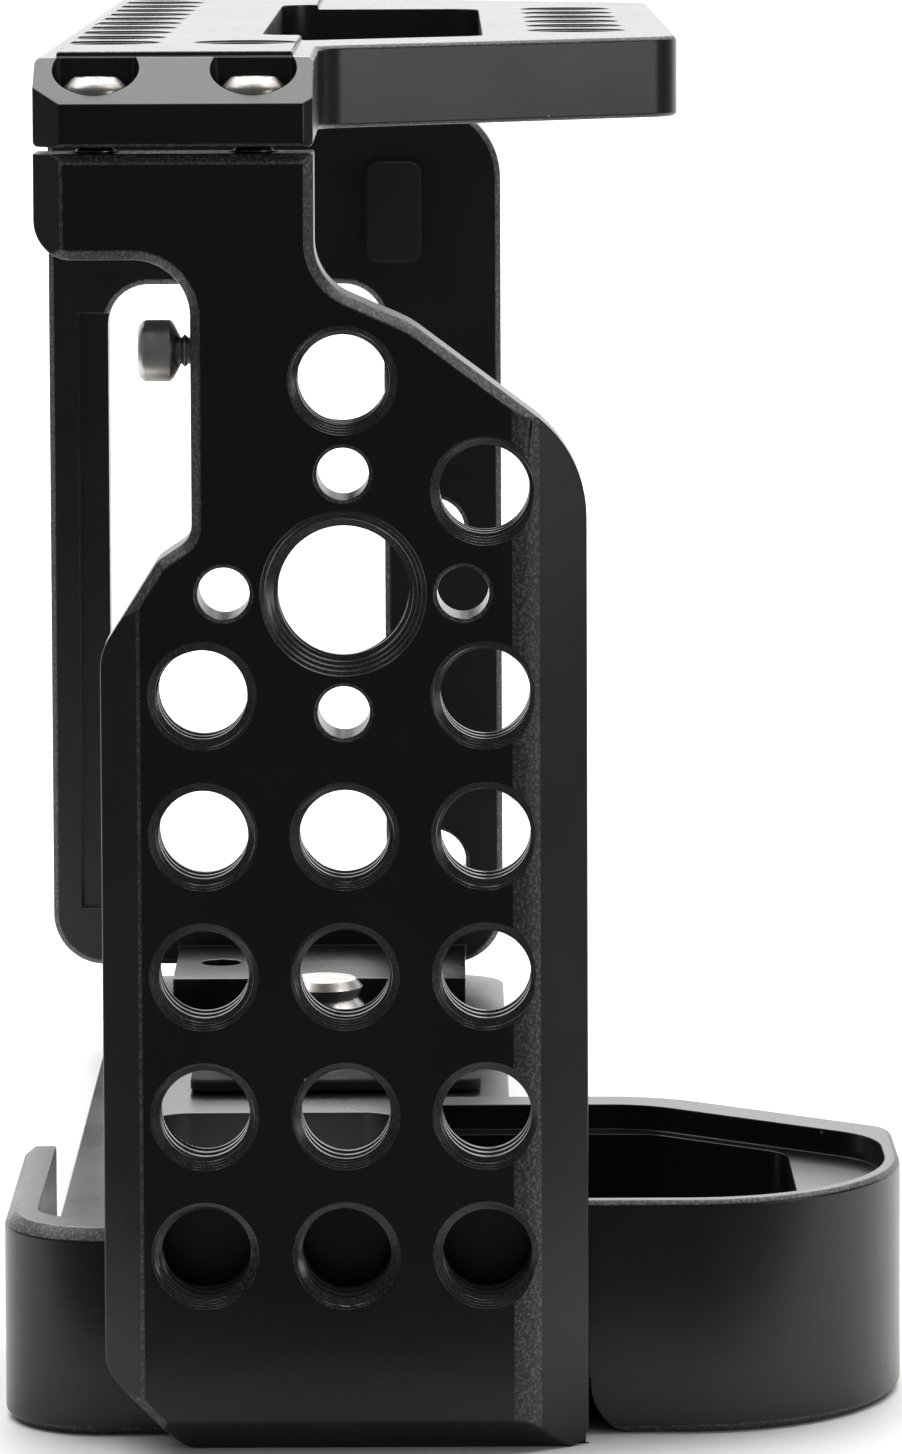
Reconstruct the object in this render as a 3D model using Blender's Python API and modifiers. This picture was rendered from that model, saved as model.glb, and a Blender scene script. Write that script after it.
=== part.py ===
"""Camera cage: a grip-side cheese plate, a tub base, a windowed port frame and a top plate.

Metres, +Z up. +X runs from the grip side to the port side, -Y is the lens side.
Places along the depth are given forward of the cheese plate's middle hole column.
"""
from math import atan2, ceil, cos, hypot, pi, radians, sin, tan

import bmesh
import bpy
from mathutils import Matrix, Vector

# Overall sizes and clearances
cage_width = 0.140
joint_gap = 0.0003
seat_gap = 0.0004
screw_clearance = 0.0003
cut_overrun = 0.002
weld_distance = 0.000001
column_back_offset = 0.0048
arc_step = radians(15)
hole_sides = 20
small_hole_sides = 12
turned_steps = 16

# Grip-side cheese plate
plate_thickness = 0.0047
plate_height = 0.0806
plate_half_width = 0.0150
head_back = 0.0189
head_front = -0.0017
head_depth = 0.0065
head_corner_radius = 0.0024
neck_back = 0.0093
neck_fillet = 0.0035
neck_foot_drop = 0.0236
neck_foot_radius = 0.0015
flare_back = 0.0114
flare_drop = 0.0250
hip_drop = 0.0307
hip_radius = 0.0040
foot_chamfer = 0.0051
foot_chamfer_radius = 0.0024
foot_corner_radius = 0.0013
shoulder_drop = 0.0185
shoulder_radius = 0.0083
slope_break_front = 0.0042
slope_break_drop = 0.0104
slope_break_radius = 0.0060
collar_drop = 0.0078
collar_radius = 0.0036
back_bevel_width = 0.0024
back_bevel_depth = 0.0014
front_bevel_width = 0.0038
front_bevel_depth = 0.0026
bottom_bevel_height = 0.0021
bottom_bevel_depth = 0.0019
head_bevel_width = 0.0018
head_bevel_depth = 0.0016

# Threaded and plain holes of the cheese plate
hole_pitch = 0.0087
quarter_inch_bore = 0.00635
three_eighth_bore = 0.0095
pin_bore = 0.0032
lowest_row_height = 0.0125
row_clearance = 0.0050
anti_twist_drop = 0.0270
anti_twist_pin_radius = 0.00735
top_hole_drop = 0.0139
side_hole_drop = 0.0207

# Tub base
base_back = 0.0218
base_front = 0.0354
floor_thickness = 0.0056
wall_height = 0.0131
lip_rise = 0.0017
near_wall = 0.0038
back_wall = 0.0021
back_wall_length = 0.0270
lip_thickness = 0.0010
cup_front_wall = 0.0068
cup_depth = 0.0300
cup_far_wall = 0.0047
far_lip_thickness = 0.0031
cup_slant_wall = 0.0041
cup_far_end = 0.0055
back_corner_radius = 0.0063
cup_near_radius = 0.0140
cup_far_radius = 0.0105
cup_flat = 0.0230
cup_far_straight = 0.0205
cup_edge_radius = 0.0025
lip_slant_radius = 0.0060
pocket_radius = 0.0030
floor_back = 0.0202
floor_front = 0.0109
floor_corner_radius = 0.0040
lip_start = -0.0125
notch_back = 0.0091
notch_front_lap = 0.0001
notch_height = 0.0036
notch_flare = 0.0035
notch_lift = 0.0002
window_near_inset = 0.0460
window_far_inset = 0.0600
window_back = 0.0155
window_front = 0.0030
window_radius = 0.0030

# Foot of the cheese plate, in the notch under the tub
foot_length = 0.0153
foot_screw_inset = 0.0052
foot_screw_count = 3

# Port-side frame
frame_thickness = 0.0046
frame_back = 0.0258
frame_front = 0.0109
frame_bottom = 0.0069
frame_top_lift = 0.0002
frame_corner_radius = 0.0042
frame_shoulder_drop = 0.0036
frame_shoulder_radius = 0.0060
frame_tab_front = 0.0005
frame_window_back = 0.0210
frame_window_front = 0.0014
frame_window_bottom = 0.0116
frame_window_drop = 0.0182
frame_window_radius = 0.0033
rebate_width = 0.0024
rebate_depth = 0.0008
rebate_drop = 0.0023
rail_bore = 0.0052
rail_hole_front = 0.0053
rail_hole_rises = (0.0084, 0.0356)
frame_foot_length = 0.0150
frame_foot_thickness = 0.0025
frame_foot_back = 0.0155
frame_foot_front = 0.0078
frame_foot_screw_spread = 0.0160

# Top plate
top_thickness = 0.00535
plateau_height = 0.00035
plateau_inset = 0.0045
plateau_back = 0.0176
plateau_front = -0.0030
top_front = 0.0218
bar_near_start = 0.0220
bar_near_end = 0.0360
bar_corner_radius = 0.0015
bar_width = 0.0080
cutout_back = 0.0056
cutout_front = 0.0089
cutout_far_inset = 0.0480
cutout_radius = 0.0025
far_slant_start = 0.0220
far_slant_end = 0.0360
top_edge_chamfer_height = 0.0027
top_edge_chamfer_depth = 0.0027
strip_hole_inset = 0.0190
strip_hole_back = 0.0150
strip_hole_front = 0.0063
bar_hole_front = 0.0153
bar_hole_inset = 0.0470
bar_hole_far_inset = 0.0460

# Screws
top_screw_back = 0.0151
top_screw_front = 0.0054
top_screw_inset = 0.0030
port_screw_inset = 0.0026
top_screw_thread = 0.0025
top_screw_head = 0.0043
top_screw_head_height = 0.0015
top_screw_seat_height = 0.0024
top_screw_length = 0.0088
top_screw_socket = 0.0015
counterbore_clearance = 0.0003
flat_screw_thread = 0.0025
flat_screw_head = 0.0044
flat_screw_head_height = 0.0012
flat_screw_recess = 0.0002
foot_screw_length = 0.0045
frame_foot_screw_length = 0.0068
socket_depth_share = 0.6
socket_across = 0.0013

# Captive camera screw and its clip
camera_screw_inset = 0.0280
camera_screw_back = 0.0033
camera_screw_thread = 0.00625
camera_screw_head = 0.0120
camera_screw_head_height = 0.0018
camera_screw_lift = 0.0002
camera_screw_tip_height = 0.0099
camera_screw_travel = 0.0008
camera_screw_slot_width = 0.0014
camera_screw_slot_depth = 0.0009
tip_chamfer = 0.0006
clip_outer = 0.0092
clip_thickness = 0.0004
clip_web = 0.0008
clip_neck = 0.0052
clip_mouth = 0.0040

# Lug lock screw in the neck
lug_screw_drop = 0.0122
lug_screw_inset = 0.00235
lug_screw_head = 0.0038
lug_screw_head_length = 0.0022
lug_screw_thread = 0.0020
lug_screw_stand_off = 0.00105
lug_screw_grip = 0.0045
lug_screw_socket = 0.0015
lug_screw_chamfer = 0.0003

# Pads
pad_thickness = 0.0008
pad_radius = 0.0010
grip_pad_places = (
    ("floor_pad_grip", 0.0240, 0.0340, 0.0160, -0.0040),
    ("floor_pad_cup", 0.0150, 0.0290, -0.0150, 0.0240),
)
port_pad_places = (
    ("floor_pad_centre", 0.0530, 0.0370, 0.0129, 0.0088),
    ("floor_pad_port", 0.0340, 0.0260, 0.0175, -0.0130),
)
frame_pad_low_drop = 0.0164
frame_pad_high_drop = 0.0082
frame_pad_back = 0.0000
frame_pad_front = 0.0045

# Levels and faces that follow from the sizes
near_face = -cage_width / 2
far_face = cage_width / 2
plate_back_face = near_face + plate_thickness
tub_near_face = plate_back_face + joint_gap
top_bottom = plate_height + seat_gap
top_surface = top_bottom + top_thickness
frame_inner_face = far_face - frame_thickness
lip_height = wall_height + lip_rise
head_underside = plate_height - head_depth
neck_foot_height = plate_height - neck_foot_drop
flare_height = plate_height - flare_drop
hip_height = plate_height - hip_drop
shoulder_height = plate_height - shoulder_drop
slope_break_height = plate_height - slope_break_drop
collar_height = plate_height - collar_drop
anti_twist_height = plate_height - anti_twist_drop
frame_top = plate_height + frame_top_lift
frame_window_top = frame_top - frame_window_drop
notch_front = plate_half_width + notch_front_lap
foot_thickness = notch_height - joint_gap
cup_far_face = tub_near_face + near_wall + cup_depth + joint_gap
cup_inner_far = cup_far_face - cup_far_wall
cup_inner_front = base_front - cup_front_wall
floor_end = frame_inner_face + frame_thickness / 2
pad_base = floor_thickness + joint_gap

COLOURS = {
    "anodised": ((0.012, 0.012, 0.013, 1.0), 0.42, 0.9),
    "steel": ((0.62, 0.60, 0.57, 1.0), 0.22, 1.0),
    "rubber": ((0.010, 0.010, 0.010, 1.0), 0.85, 0.0),
    "spring_steel": ((0.10, 0.10, 0.11, 1.0), 0.35, 1.0),
}


def forward(distance):
    """World Y of a place that lies this far forward of the middle hole column."""
    return column_back_offset - distance


def clear_scene():
    """Remove whatever objects the file starts with."""
    for old in list(bpy.data.objects):
        bpy.data.objects.remove(old, do_unlink=True)


def make_collection(name):
    """A new collection linked to the scene."""
    collection = bpy.data.collections.new(name)
    bpy.context.scene.collection.children.link(collection)
    return collection


def make_material(piece, look):
    """Give the piece its own Principled material."""
    colour, roughness, metallic = COLOURS[look]
    material = bpy.data.materials.new(piece.name)
    material.use_nodes = True
    shader = material.node_tree.nodes["Principled BSDF"]
    shader.inputs["Base Color"].default_value = colour
    shader.inputs["Roughness"].default_value = roughness
    shader.inputs["Metallic"].default_value = metallic
    piece.data.materials.append(material)


def place_part(piece, look):
    """Put a finished sub-part in the cage's collection with its material."""
    parts.objects.link(piece)
    make_material(piece, look)
    piece.data.shade_smooth()
    piece.data.set_sharp_from_angle(angle=radians(35))
    return piece


def new_object(name, mesh):
    """An object round a mesh, not yet in any collection."""
    return bpy.data.objects.new(name, mesh)


def rounded(corners):
    """Turn corners (a, b, radius) into outline points, with an arc at each rounded corner."""
    points = []
    count = len(corners)
    for index, (a, b, radius) in enumerate(corners):
        if radius == 0:
            points.append((a, b))
            continue
        before = corners[index - 1]
        after = corners[(index + 1) % count]
        back = Vector((before[0] - a, before[1] - b)).normalized()
        ahead = Vector((after[0] - a, after[1] - b)).normalized()
        half = back.angle(ahead) / 2
        middle = (back + ahead).normalized()
        centre = Vector((a, b)) + middle * (radius / sin(half))
        start = Vector((a, b)) + back * (radius / tan(half)) - centre
        end = Vector((a, b)) + ahead * (radius / tan(half)) - centre
        first = atan2(start.y, start.x)
        sweep = (atan2(end.y, end.x) - first + pi) % (2 * pi) - pi
        steps = max(2, ceil(abs(sweep) / arc_step))
        for step in range(steps + 1):
            angle = first + sweep * step / steps
            points.append((centre.x + radius * cos(angle), centre.y + radius * sin(angle)))
    return points


def outline_mesh(name, corners, low, high, turn):
    """Extrude a rounded outline between two levels, then turn it to its plane."""
    curve = bpy.data.curves.new(name, "CURVE")
    curve.dimensions = "2D"
    curve.fill_mode = "BOTH"
    curve.extrude = (high - low) / 2
    points = rounded(corners)
    spline = curve.splines.new("POLY")
    spline.points.add(len(points) - 1)
    for point, (a, b) in zip(spline.points, points):
        point.co = (a, b, 0, 1)
    spline.use_cyclic_u = True
    holder = bpy.data.objects.new(name, curve)
    bpy.context.scene.collection.objects.link(holder)
    evaluated = holder.evaluated_get(bpy.context.evaluated_depsgraph_get())
    mesh = bpy.data.meshes.new_from_object(evaluated)
    bpy.data.objects.remove(holder, do_unlink=True)
    shape = bmesh.new()
    shape.from_mesh(mesh)
    bmesh.ops.remove_doubles(shape, verts=shape.verts, dist=weld_distance)
    bmesh.ops.translate(shape, verts=shape.verts, vec=(0, 0, (low + high) / 2))
    bmesh.ops.transform(shape, matrix=turn, verts=shape.verts)
    bmesh.ops.recalc_face_normals(shape, faces=shape.faces)
    shape.to_mesh(mesh)
    shape.free()
    return mesh


def plan_mesh(name, corners, low, high):
    """An outline in plan, its corners given as (x, forward, radius), between two heights."""
    world = [(x, forward(reach), radius) for x, reach, radius in corners]
    return outline_mesh(name, world, low, high, Matrix.Identity(4))


def side_mesh(name, corners, near, far):
    """An outline seen from the side, corners as (forward, height, radius), between two X places."""
    world = [(forward(reach), height, radius) for reach, height, radius in corners]
    along_x = Matrix(((0, 0, 1, 0), (1, 0, 0, 0), (0, 1, 0, 0), (0, 0, 0, 1)))
    return outline_mesh(name, world, near, far, along_x)


def box_corners(a_low, a_high, b_low, b_high, radius):
    """The four corners of a rectangle, all with one radius."""
    return [
        (a_low, b_low, radius),
        (a_high, b_low, radius),
        (a_high, b_high, radius),
        (a_low, b_high, radius),
    ]


def cylinder_mesh(name, places, diameter, depth, axis, sides):
    """Equal cylinders centred on the places, along one axis."""
    shape = bmesh.new()
    turns = {
        "X": Matrix.Rotation(pi / 2, 4, "Y"),
        "Y": Matrix.Rotation(pi / 2, 4, "X"),
        "Z": Matrix.Identity(4),
    }
    for place in places:
        bmesh.ops.create_cone(
            shape,
            cap_ends=True,
            segments=sides,
            radius1=diameter / 2,
            radius2=diameter / 2,
            depth=depth,
            matrix=Matrix.Translation(place) @ turns[axis],
        )
    mesh = bpy.data.meshes.new(name)
    shape.to_mesh(mesh)
    shape.free()
    return mesh


def cut(piece, name, mesh, operation="DIFFERENCE"):
    """Cut the piece with a mesh, or join the mesh to it, and keep the tool as a wire guide."""
    tool = new_object(name, mesh)
    tool.hide_render = True
    tool.display_type = "WIRE"
    tools.objects.link(tool)
    tool.parent = piece.parent
    modifier = piece.modifiers.new(name, "BOOLEAN")
    modifier.operation = operation
    modifier.solver = "EXACT"
    modifier.object = tool
    return tool


def wedge_mesh(name, corners, low, high):
    """A prism that takes off an edge: corners as (x, forward), between two heights."""
    return plan_mesh(name, [(x, reach, 0) for x, reach in corners], low, high)


def build_side_plate():
    """The grip-side cheese plate, with its neck, head and foot."""
    outline = [
        (-head_back, plate_height, 0),
        (-head_back, head_underside, head_corner_radius),
        (-neck_back, head_underside, neck_fillet),
        (-neck_back, neck_foot_height, neck_foot_radius),
        (-flare_back, flare_height, neck_foot_radius),
        (-plate_half_width, hip_height, hip_radius),
        (-plate_half_width, foot_chamfer, foot_chamfer_radius),
        (-plate_half_width + foot_chamfer, 0, foot_corner_radius),
        (plate_half_width, 0, foot_corner_radius),
        (plate_half_width, shoulder_height, shoulder_radius),
        (slope_break_front, slope_break_height, slope_break_radius),
        (head_front, collar_height, collar_radius),
        (head_front, plate_height, 0),
    ]
    body = side_mesh("grip_side_plate", outline, near_face, plate_back_face)
    plate = new_object("grip_side_plate", body)
    foot = box_corners(
        -notch_back + joint_gap, notch_front - joint_gap, 0, foot_thickness, 0)
    cut(plate, "plate_foot", side_mesh(
        "plate_foot", foot, plate_back_face - plate_thickness / 2, plate_back_face + foot_length), "UNION")
    bevel_plate_edges(plate)
    cut(plate, "plate_quarter_holes", cylinder_mesh(
        "plate_quarter_holes", quarter_hole_places(), quarter_inch_bore,
        plate_thickness + cut_overrun, "X", hole_sides))
    centre = (near_face + plate_thickness / 2, forward(0), anti_twist_height)
    cut(plate, "plate_large_hole", cylinder_mesh(
        "plate_large_hole", [centre], three_eighth_bore, plate_thickness + cut_overrun, "X", hole_sides))
    pins = [
        (centre[0], centre[1] + anti_twist_pin_radius * cos(turn * pi / 2),
         centre[2] + anti_twist_pin_radius * sin(turn * pi / 2))
        for turn in range(4)
    ]
    cut(plate, "plate_pin_holes", cylinder_mesh(
        "plate_pin_holes", pins, pin_bore, plate_thickness + cut_overrun, "X", small_hole_sides))
    shaft = top_screw_thread + 2 * screw_clearance
    depth = top_screw_length - top_screw_seat_height + screw_clearance
    places = [
        (near_face + top_screw_inset, forward(-reach), plate_height + (cut_overrun - depth) / 2)
        for reach in (top_screw_back, top_screw_front)
    ]
    cut(plate, "plate_top_taps", cylinder_mesh(
        "plate_top_taps", places, shaft, depth + cut_overrun, "Z", small_hole_sides))
    reach = lug_screw_grip + lug_screw_stand_off + screw_clearance
    lug = (
        near_face + lug_screw_inset, forward(-neck_back) - (reach - cut_overrun) / 2,
        plate_height - lug_screw_drop)
    cut(plate, "plate_lug_tap", cylinder_mesh(
        "plate_lug_tap", [lug], lug_screw_thread + 2 * screw_clearance,
        reach + cut_overrun, "Y", small_hole_sides))
    cut(plate, "plate_foot_taps", cylinder_mesh(
        "plate_foot_taps", foot_screw_places(foot_thickness / 2),
        flat_screw_thread + 2 * screw_clearance, foot_thickness + cut_overrun, "Z", small_hole_sides))
    cut(plate, "plate_foot_sinks", countersink_mesh("plate_foot_sinks", foot_screw_places(0)))
    return place_part(plate, "anodised")


def bevel_plate_edges(plate):
    """Take the outer edges off the plate's near face: back, front, foot and head."""
    out = near_face - cut_overrun
    back = -plate_half_width
    edge = cut_overrun
    slope = back_bevel_depth / back_bevel_width
    cut(plate, "plate_back_bevel", wedge_mesh("plate_back_bevel", [
        (out, back + back_bevel_width),
        (near_face, back + back_bevel_width),
        (near_face + back_bevel_depth + edge * slope, back - edge),
        (out, back - edge)], -cut_overrun, neck_foot_height))
    front = plate_half_width
    slope = front_bevel_depth / front_bevel_width
    cut(plate, "plate_front_bevel", wedge_mesh("plate_front_bevel", [
        (out, front - front_bevel_width),
        (near_face, front - front_bevel_width),
        (near_face + front_bevel_depth + edge * slope, front + edge),
        (out, front + edge)], -cut_overrun, collar_height))
    slope = head_bevel_depth / head_bevel_width
    cut(plate, "plate_head_bevel", wedge_mesh("plate_head_bevel", [
        (out, -head_back + head_bevel_width),
        (near_face, -head_back + head_bevel_width),
        (near_face + head_bevel_depth + edge * slope, -head_back - edge),
        (out, -head_back - edge)], flare_height, plate_height + cut_overrun))
    slope = bottom_bevel_depth / bottom_bevel_height
    low_edge = [
        (-(near_face - edge), bottom_bevel_height, 0),
        (-near_face, bottom_bevel_height, 0),
        (-(near_face + bottom_bevel_depth + edge * slope), -edge, 0),
        (-(near_face - edge), -edge, 0),
    ]
    along_y = Matrix(((-1, 0, 0, 0), (0, 0, 1, 0), (0, 1, 0, 0), (0, 0, 0, 1)))
    reach = plate_half_width + cut_overrun
    cut(plate, "plate_bottom_bevel", outline_mesh(
        "plate_bottom_bevel", low_edge, forward(reach), forward(-reach), along_y))


def holes_along(span):
    """How many holes fit on a span at the hole pitch."""
    return int(span / hole_pitch) + 1


def quarter_hole_places():
    """Centres of the cheese plate's quarter-inch holes."""
    middle = near_face + plate_thickness / 2
    rows = holes_along(anti_twist_height - row_clearance - lowest_row_height)
    pin_reach = anti_twist_pin_radius + (pin_bore + quarter_inch_bore) / 2
    places = []
    for column in (-1, 0, 1):
        for row in range(rows):
            height = lowest_row_height + row * hole_pitch
            if column or height < anti_twist_height - pin_reach:
                places.append((middle, forward(column * hole_pitch), height))
    places.append((middle, forward(0), plate_height - top_hole_drop))
    places.append((middle, forward(hole_pitch), plate_height - side_hole_drop))
    return places


def foot_screw_places(height):
    """Centres of the screws through the cheese plate's foot."""
    span = notch_back + notch_front - 2 * foot_screw_inset
    return [
        (plate_back_face + foot_length / 2,
         forward(-notch_back + foot_screw_inset + span * index / (foot_screw_count - 1)), height)
        for index in range(foot_screw_count)
    ]


def frame_foot_screw_places(height):
    """Centres of the screws through the port frame's foot."""
    centre = (frame_foot_front - frame_foot_back) / 2
    middle = frame_inner_face - frame_foot_length / 2
    return [(middle, forward(centre + side * frame_foot_screw_spread / 2), height) for side in (-1, 1)]


def countersink_mesh(name, places):
    """Cones that sink flat-headed screws into an underside at the given places."""
    rim = flat_screw_head + 2 * screw_clearance
    core = flat_screw_thread + 2 * screw_clearance
    rise = flat_screw_head_height + flat_screw_recess
    shape = bmesh.new()
    for place in places:
        bmesh.ops.create_cone(
            shape,
            cap_ends=True,
            segments=small_hole_sides,
            radius1=rim / 2,
            radius2=core / 2,
            depth=rise,
            matrix=Matrix.Translation((place[0], place[1], place[2] + rise / 2)),
        )
        bmesh.ops.create_cone(
            shape,
            cap_ends=True,
            segments=small_hole_sides,
            radius1=rim / 2,
            radius2=rim / 2,
            depth=cut_overrun,
            matrix=Matrix.Translation((place[0], place[1], place[2] - cut_overrun / 2)),
        )
    bmesh.ops.remove_doubles(shape, verts=shape.verts, dist=weld_distance)
    doubled = [face for face in shape.faces if is_seam(face, places)]
    bmesh.ops.delete(shape, geom=doubled, context="FACES_ONLY")
    mesh = bpy.data.meshes.new(name)
    shape.to_mesh(mesh)
    shape.free()
    return mesh


def is_seam(face, places):
    """Whether a face is one of the caps where a cone meets its cylinder."""
    level = places[0][2]
    return all(abs(vert.co.z - level) < weld_distance for vert in face.verts)


def cup_slant():
    """How much X the cup's slanted side loses for each unit forward, and its length for each unit."""
    slope = (cup_far_face - tub_near_face - cup_flat) / (base_front - cup_far_straight)
    return slope, hypot(slope, 1)


def cup_slant_far(wall, reach):
    """X of the line that runs a wall's thickness inside the cup's slanted side."""
    slope, length = cup_slant()
    return cup_far_face - (reach - cup_far_straight) * slope - wall * length


def cup_slant_start(wall, straight_wall):
    """Where forward the far side's own wall meets that line."""
    slope, length = cup_slant()
    return cup_far_straight - (wall * length - straight_wall) / slope


def build_base():
    """The tub base: floor, back corner, grip cup, lip, notch and windows."""
    left = tub_near_face
    outline = [
        (left, -base_back, back_corner_radius),
        (left, base_front, cup_near_radius),
        (left + cup_flat, base_front, cup_edge_radius),
        (cup_far_face, cup_far_straight, cup_far_radius),
        (cup_far_face, floor_front, 0),
        (floor_end, floor_front, floor_corner_radius),
        (floor_end, -floor_back, floor_corner_radius),
        (left + back_wall_length, -floor_back, 0),
        (left + back_wall_length, -base_back, 0),
    ]
    base = new_object("base_tub", plan_mesh("base_tub", outline, 0, lip_height))
    beyond = far_face + cut_overrun
    bay = [
        (left + near_wall, -base_back + back_wall, pocket_radius),
        (left + near_wall, cup_inner_front, pocket_radius),
        (cup_slant_far(cup_slant_wall, cup_inner_front), cup_inner_front, pocket_radius),
        (cup_inner_far, cup_slant_start(cup_slant_wall, cup_far_wall), pocket_radius),
        (cup_inner_far, cup_far_end, 0),
        (cup_far_face, cup_far_end, 0),
        (cup_far_face, floor_front + cut_overrun, 0),
        (beyond, floor_front + cut_overrun, 0),
        (beyond, -base_back - cut_overrun, 0),
        (left + back_wall_length, -base_back - cut_overrun, 0),
        (left + back_wall_length, -base_back + back_wall, 0),
    ]
    top = lip_height + cut_overrun
    cut(base, "base_bay", plan_mesh("base_bay", bay, floor_thickness, top))
    inner_front = base_front - lip_thickness
    inner_far = cup_far_face - far_lip_thickness
    lip_turn = cup_slant_start(far_lip_thickness, far_lip_thickness)
    lip = [
        (left - cut_overrun, -base_back - cut_overrun, 0),
        (left - cut_overrun, lip_start, 0),
        (left + lip_thickness, lip_start, 0),
        (left + lip_thickness, inner_front, cup_near_radius - lip_thickness),
        (cup_slant_far(far_lip_thickness, inner_front), inner_front, lip_slant_radius),
        (inner_far, lip_turn, cup_far_radius - far_lip_thickness),
        (inner_far, cup_far_end - cut_overrun, 0),
        (beyond, cup_far_end - cut_overrun, 0),
        (beyond, -base_back - cut_overrun, 0),
    ]
    cut(base, "base_ledge", plan_mesh("base_ledge", lip, wall_height, top))
    cut_notch(base)
    window = box_corners(
        near_face + window_near_inset, far_face - window_far_inset, -window_back, window_front,
        window_radius)
    cut(base, "base_window", plan_mesh("base_window", window, -cut_overrun, floor_thickness + cut_overrun))
    cut_base_holes(base)
    return place_part(base, "anodised")


def cut_notch(base):
    """The notch under the near wall that takes the cheese plate's foot, with rounded mouths."""
    flare = notch_flare + cut_overrun
    notch = [
        (-notch_back - flare, -cut_overrun, 0),
        (-notch_back - flare, -notch_lift, 0),
        (-notch_back, -notch_lift, notch_flare),
        (-notch_back, notch_height, 0),
        (notch_front, notch_height, 0),
        (notch_front, -notch_lift, notch_flare),
        (notch_front + flare, -notch_lift, 0),
        (notch_front + flare, -cut_overrun, 0),
    ]
    cut(base, "base_notch", side_mesh(
        "base_notch", notch, tub_near_face - cut_overrun, plate_back_face + foot_length + joint_gap))


def camera_screw_place(height):
    """The camera screw's axis at a height."""
    return (far_face - camera_screw_inset, forward(-camera_screw_back), height)


def clip_level():
    """Underside of the clip, with the screw let down."""
    return camera_screw_lift + camera_screw_head_height + camera_screw_travel + clip_web + 2 * joint_gap


def cut_base_holes(base):
    """Holes for the foot screws, the frame screws and the camera screw."""
    bore = flat_screw_thread + 2 * screw_clearance
    through = floor_thickness + cut_overrun
    places = foot_screw_places(notch_height) + frame_foot_screw_places(floor_thickness / 2)
    cut(base, "base_screw_holes", cylinder_mesh(
        "base_screw_holes", places, bore, 2 * through, "Z", small_hole_sides))
    cut(base, "base_frame_sinks", countersink_mesh("base_frame_sinks", frame_foot_screw_places(0)))
    cut(base, "base_camera_bore", cylinder_mesh(
        "base_camera_bore", [camera_screw_place(floor_thickness / 2)],
        camera_screw_thread + 2 * screw_clearance, through + cut_overrun, "Z", hole_sides))
    head_roof = camera_screw_lift + camera_screw_head_height + camera_screw_travel + joint_gap
    cut(base, "base_camera_recess", cylinder_mesh(
        "base_camera_recess", [camera_screw_place((head_roof - cut_overrun) / 2)],
        camera_screw_head + 2 * screw_clearance, head_roof + cut_overrun, "Z", hole_sides))
    clip_floor = clip_level() - joint_gap
    rise = floor_thickness + cut_overrun - clip_floor
    cut(base, "base_clip_recess", cylinder_mesh(
        "base_clip_recess", [camera_screw_place(clip_floor + rise / 2)],
        clip_outer + 2 * screw_clearance, rise, "Z", hole_sides))


def build_frame():
    """The windowed port-side frame with its foot on the floor."""
    shoulder = frame_top - frame_shoulder_drop
    outline = [
        (-frame_back, frame_top, frame_corner_radius),
        (-frame_back, frame_bottom, frame_corner_radius),
        (frame_front, frame_bottom, frame_corner_radius),
        (frame_front, shoulder, frame_shoulder_radius),
        (frame_tab_front, shoulder, 0),
        (frame_tab_front, frame_top, 0),
    ]
    frame = new_object("port_side_frame", side_mesh("port_side_frame", outline, frame_inner_face, far_face))
    foot = [
        (-frame_foot_back, floor_thickness + joint_gap, 0),
        (frame_foot_front, floor_thickness + joint_gap, 0),
        (frame_foot_front, floor_thickness + joint_gap + frame_foot_thickness, 0),
        (-frame_foot_back, floor_thickness + joint_gap + frame_foot_thickness, 0),
    ]
    cut(frame, "frame_foot", side_mesh(
        "frame_foot", foot, frame_inner_face - frame_foot_length,
        frame_inner_face + frame_thickness / 2), "UNION")
    window = box_corners(
        -frame_window_back, frame_window_front, frame_window_bottom, frame_window_top, frame_window_radius)
    cut(frame, "frame_window", side_mesh(
        "frame_window", window, frame_inner_face - cut_overrun, far_face + cut_overrun))
    rebate = box_corners(
        -frame_window_back - rebate_width, -frame_window_back + rebate_width,
        frame_window_bottom, frame_window_top - rebate_drop, 0)
    cut(frame, "frame_rebate", side_mesh(
        "frame_rebate", rebate, frame_inner_face - cut_overrun, frame_inner_face + rebate_depth))
    middle = frame_inner_face + frame_thickness / 2
    rail = [(middle, forward(rail_hole_front), frame_bottom + rise) for rise in rail_hole_rises]
    cut(frame, "frame_rail_holes", cylinder_mesh(
        "frame_rail_holes", rail, rail_bore, frame_thickness + cut_overrun, "X", small_hole_sides))
    shaft = top_screw_thread + 2 * screw_clearance
    depth = top_screw_length - top_screw_seat_height + screw_clearance
    taps = [
        (far_face - port_screw_inset, forward(-reach), frame_top + (cut_overrun - depth) / 2)
        for reach in (top_screw_back, top_screw_front)
    ]
    cut(frame, "frame_top_taps", cylinder_mesh(
        "frame_top_taps", taps, shaft, depth + cut_overrun, "Z", small_hole_sides))
    level = floor_thickness + frame_foot_thickness / 2
    cut(frame, "frame_foot_taps", cylinder_mesh(
        "frame_foot_taps", frame_foot_screw_places(level), flat_screw_thread + 2 * screw_clearance,
        2 * frame_foot_thickness, "Z", small_hole_sides))
    return place_part(frame, "anodised")


def slant_share(reach):
    """How far along the slanted bar a forward place lies, as a share of its length."""
    return (reach - head_front) / (top_front - head_front)


def bar_near(reach):
    """World X of the slanted bar's near face at a forward place."""
    return near_face + bar_near_start + (bar_near_end - bar_near_start) * slant_share(reach)


def bar_far(reach):
    """World X of the slanted bar's far face at a forward place."""
    run = bar_near_end - bar_near_start
    rise = top_front - head_front
    return bar_near(reach) + bar_width * hypot(run, rise) / rise


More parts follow.
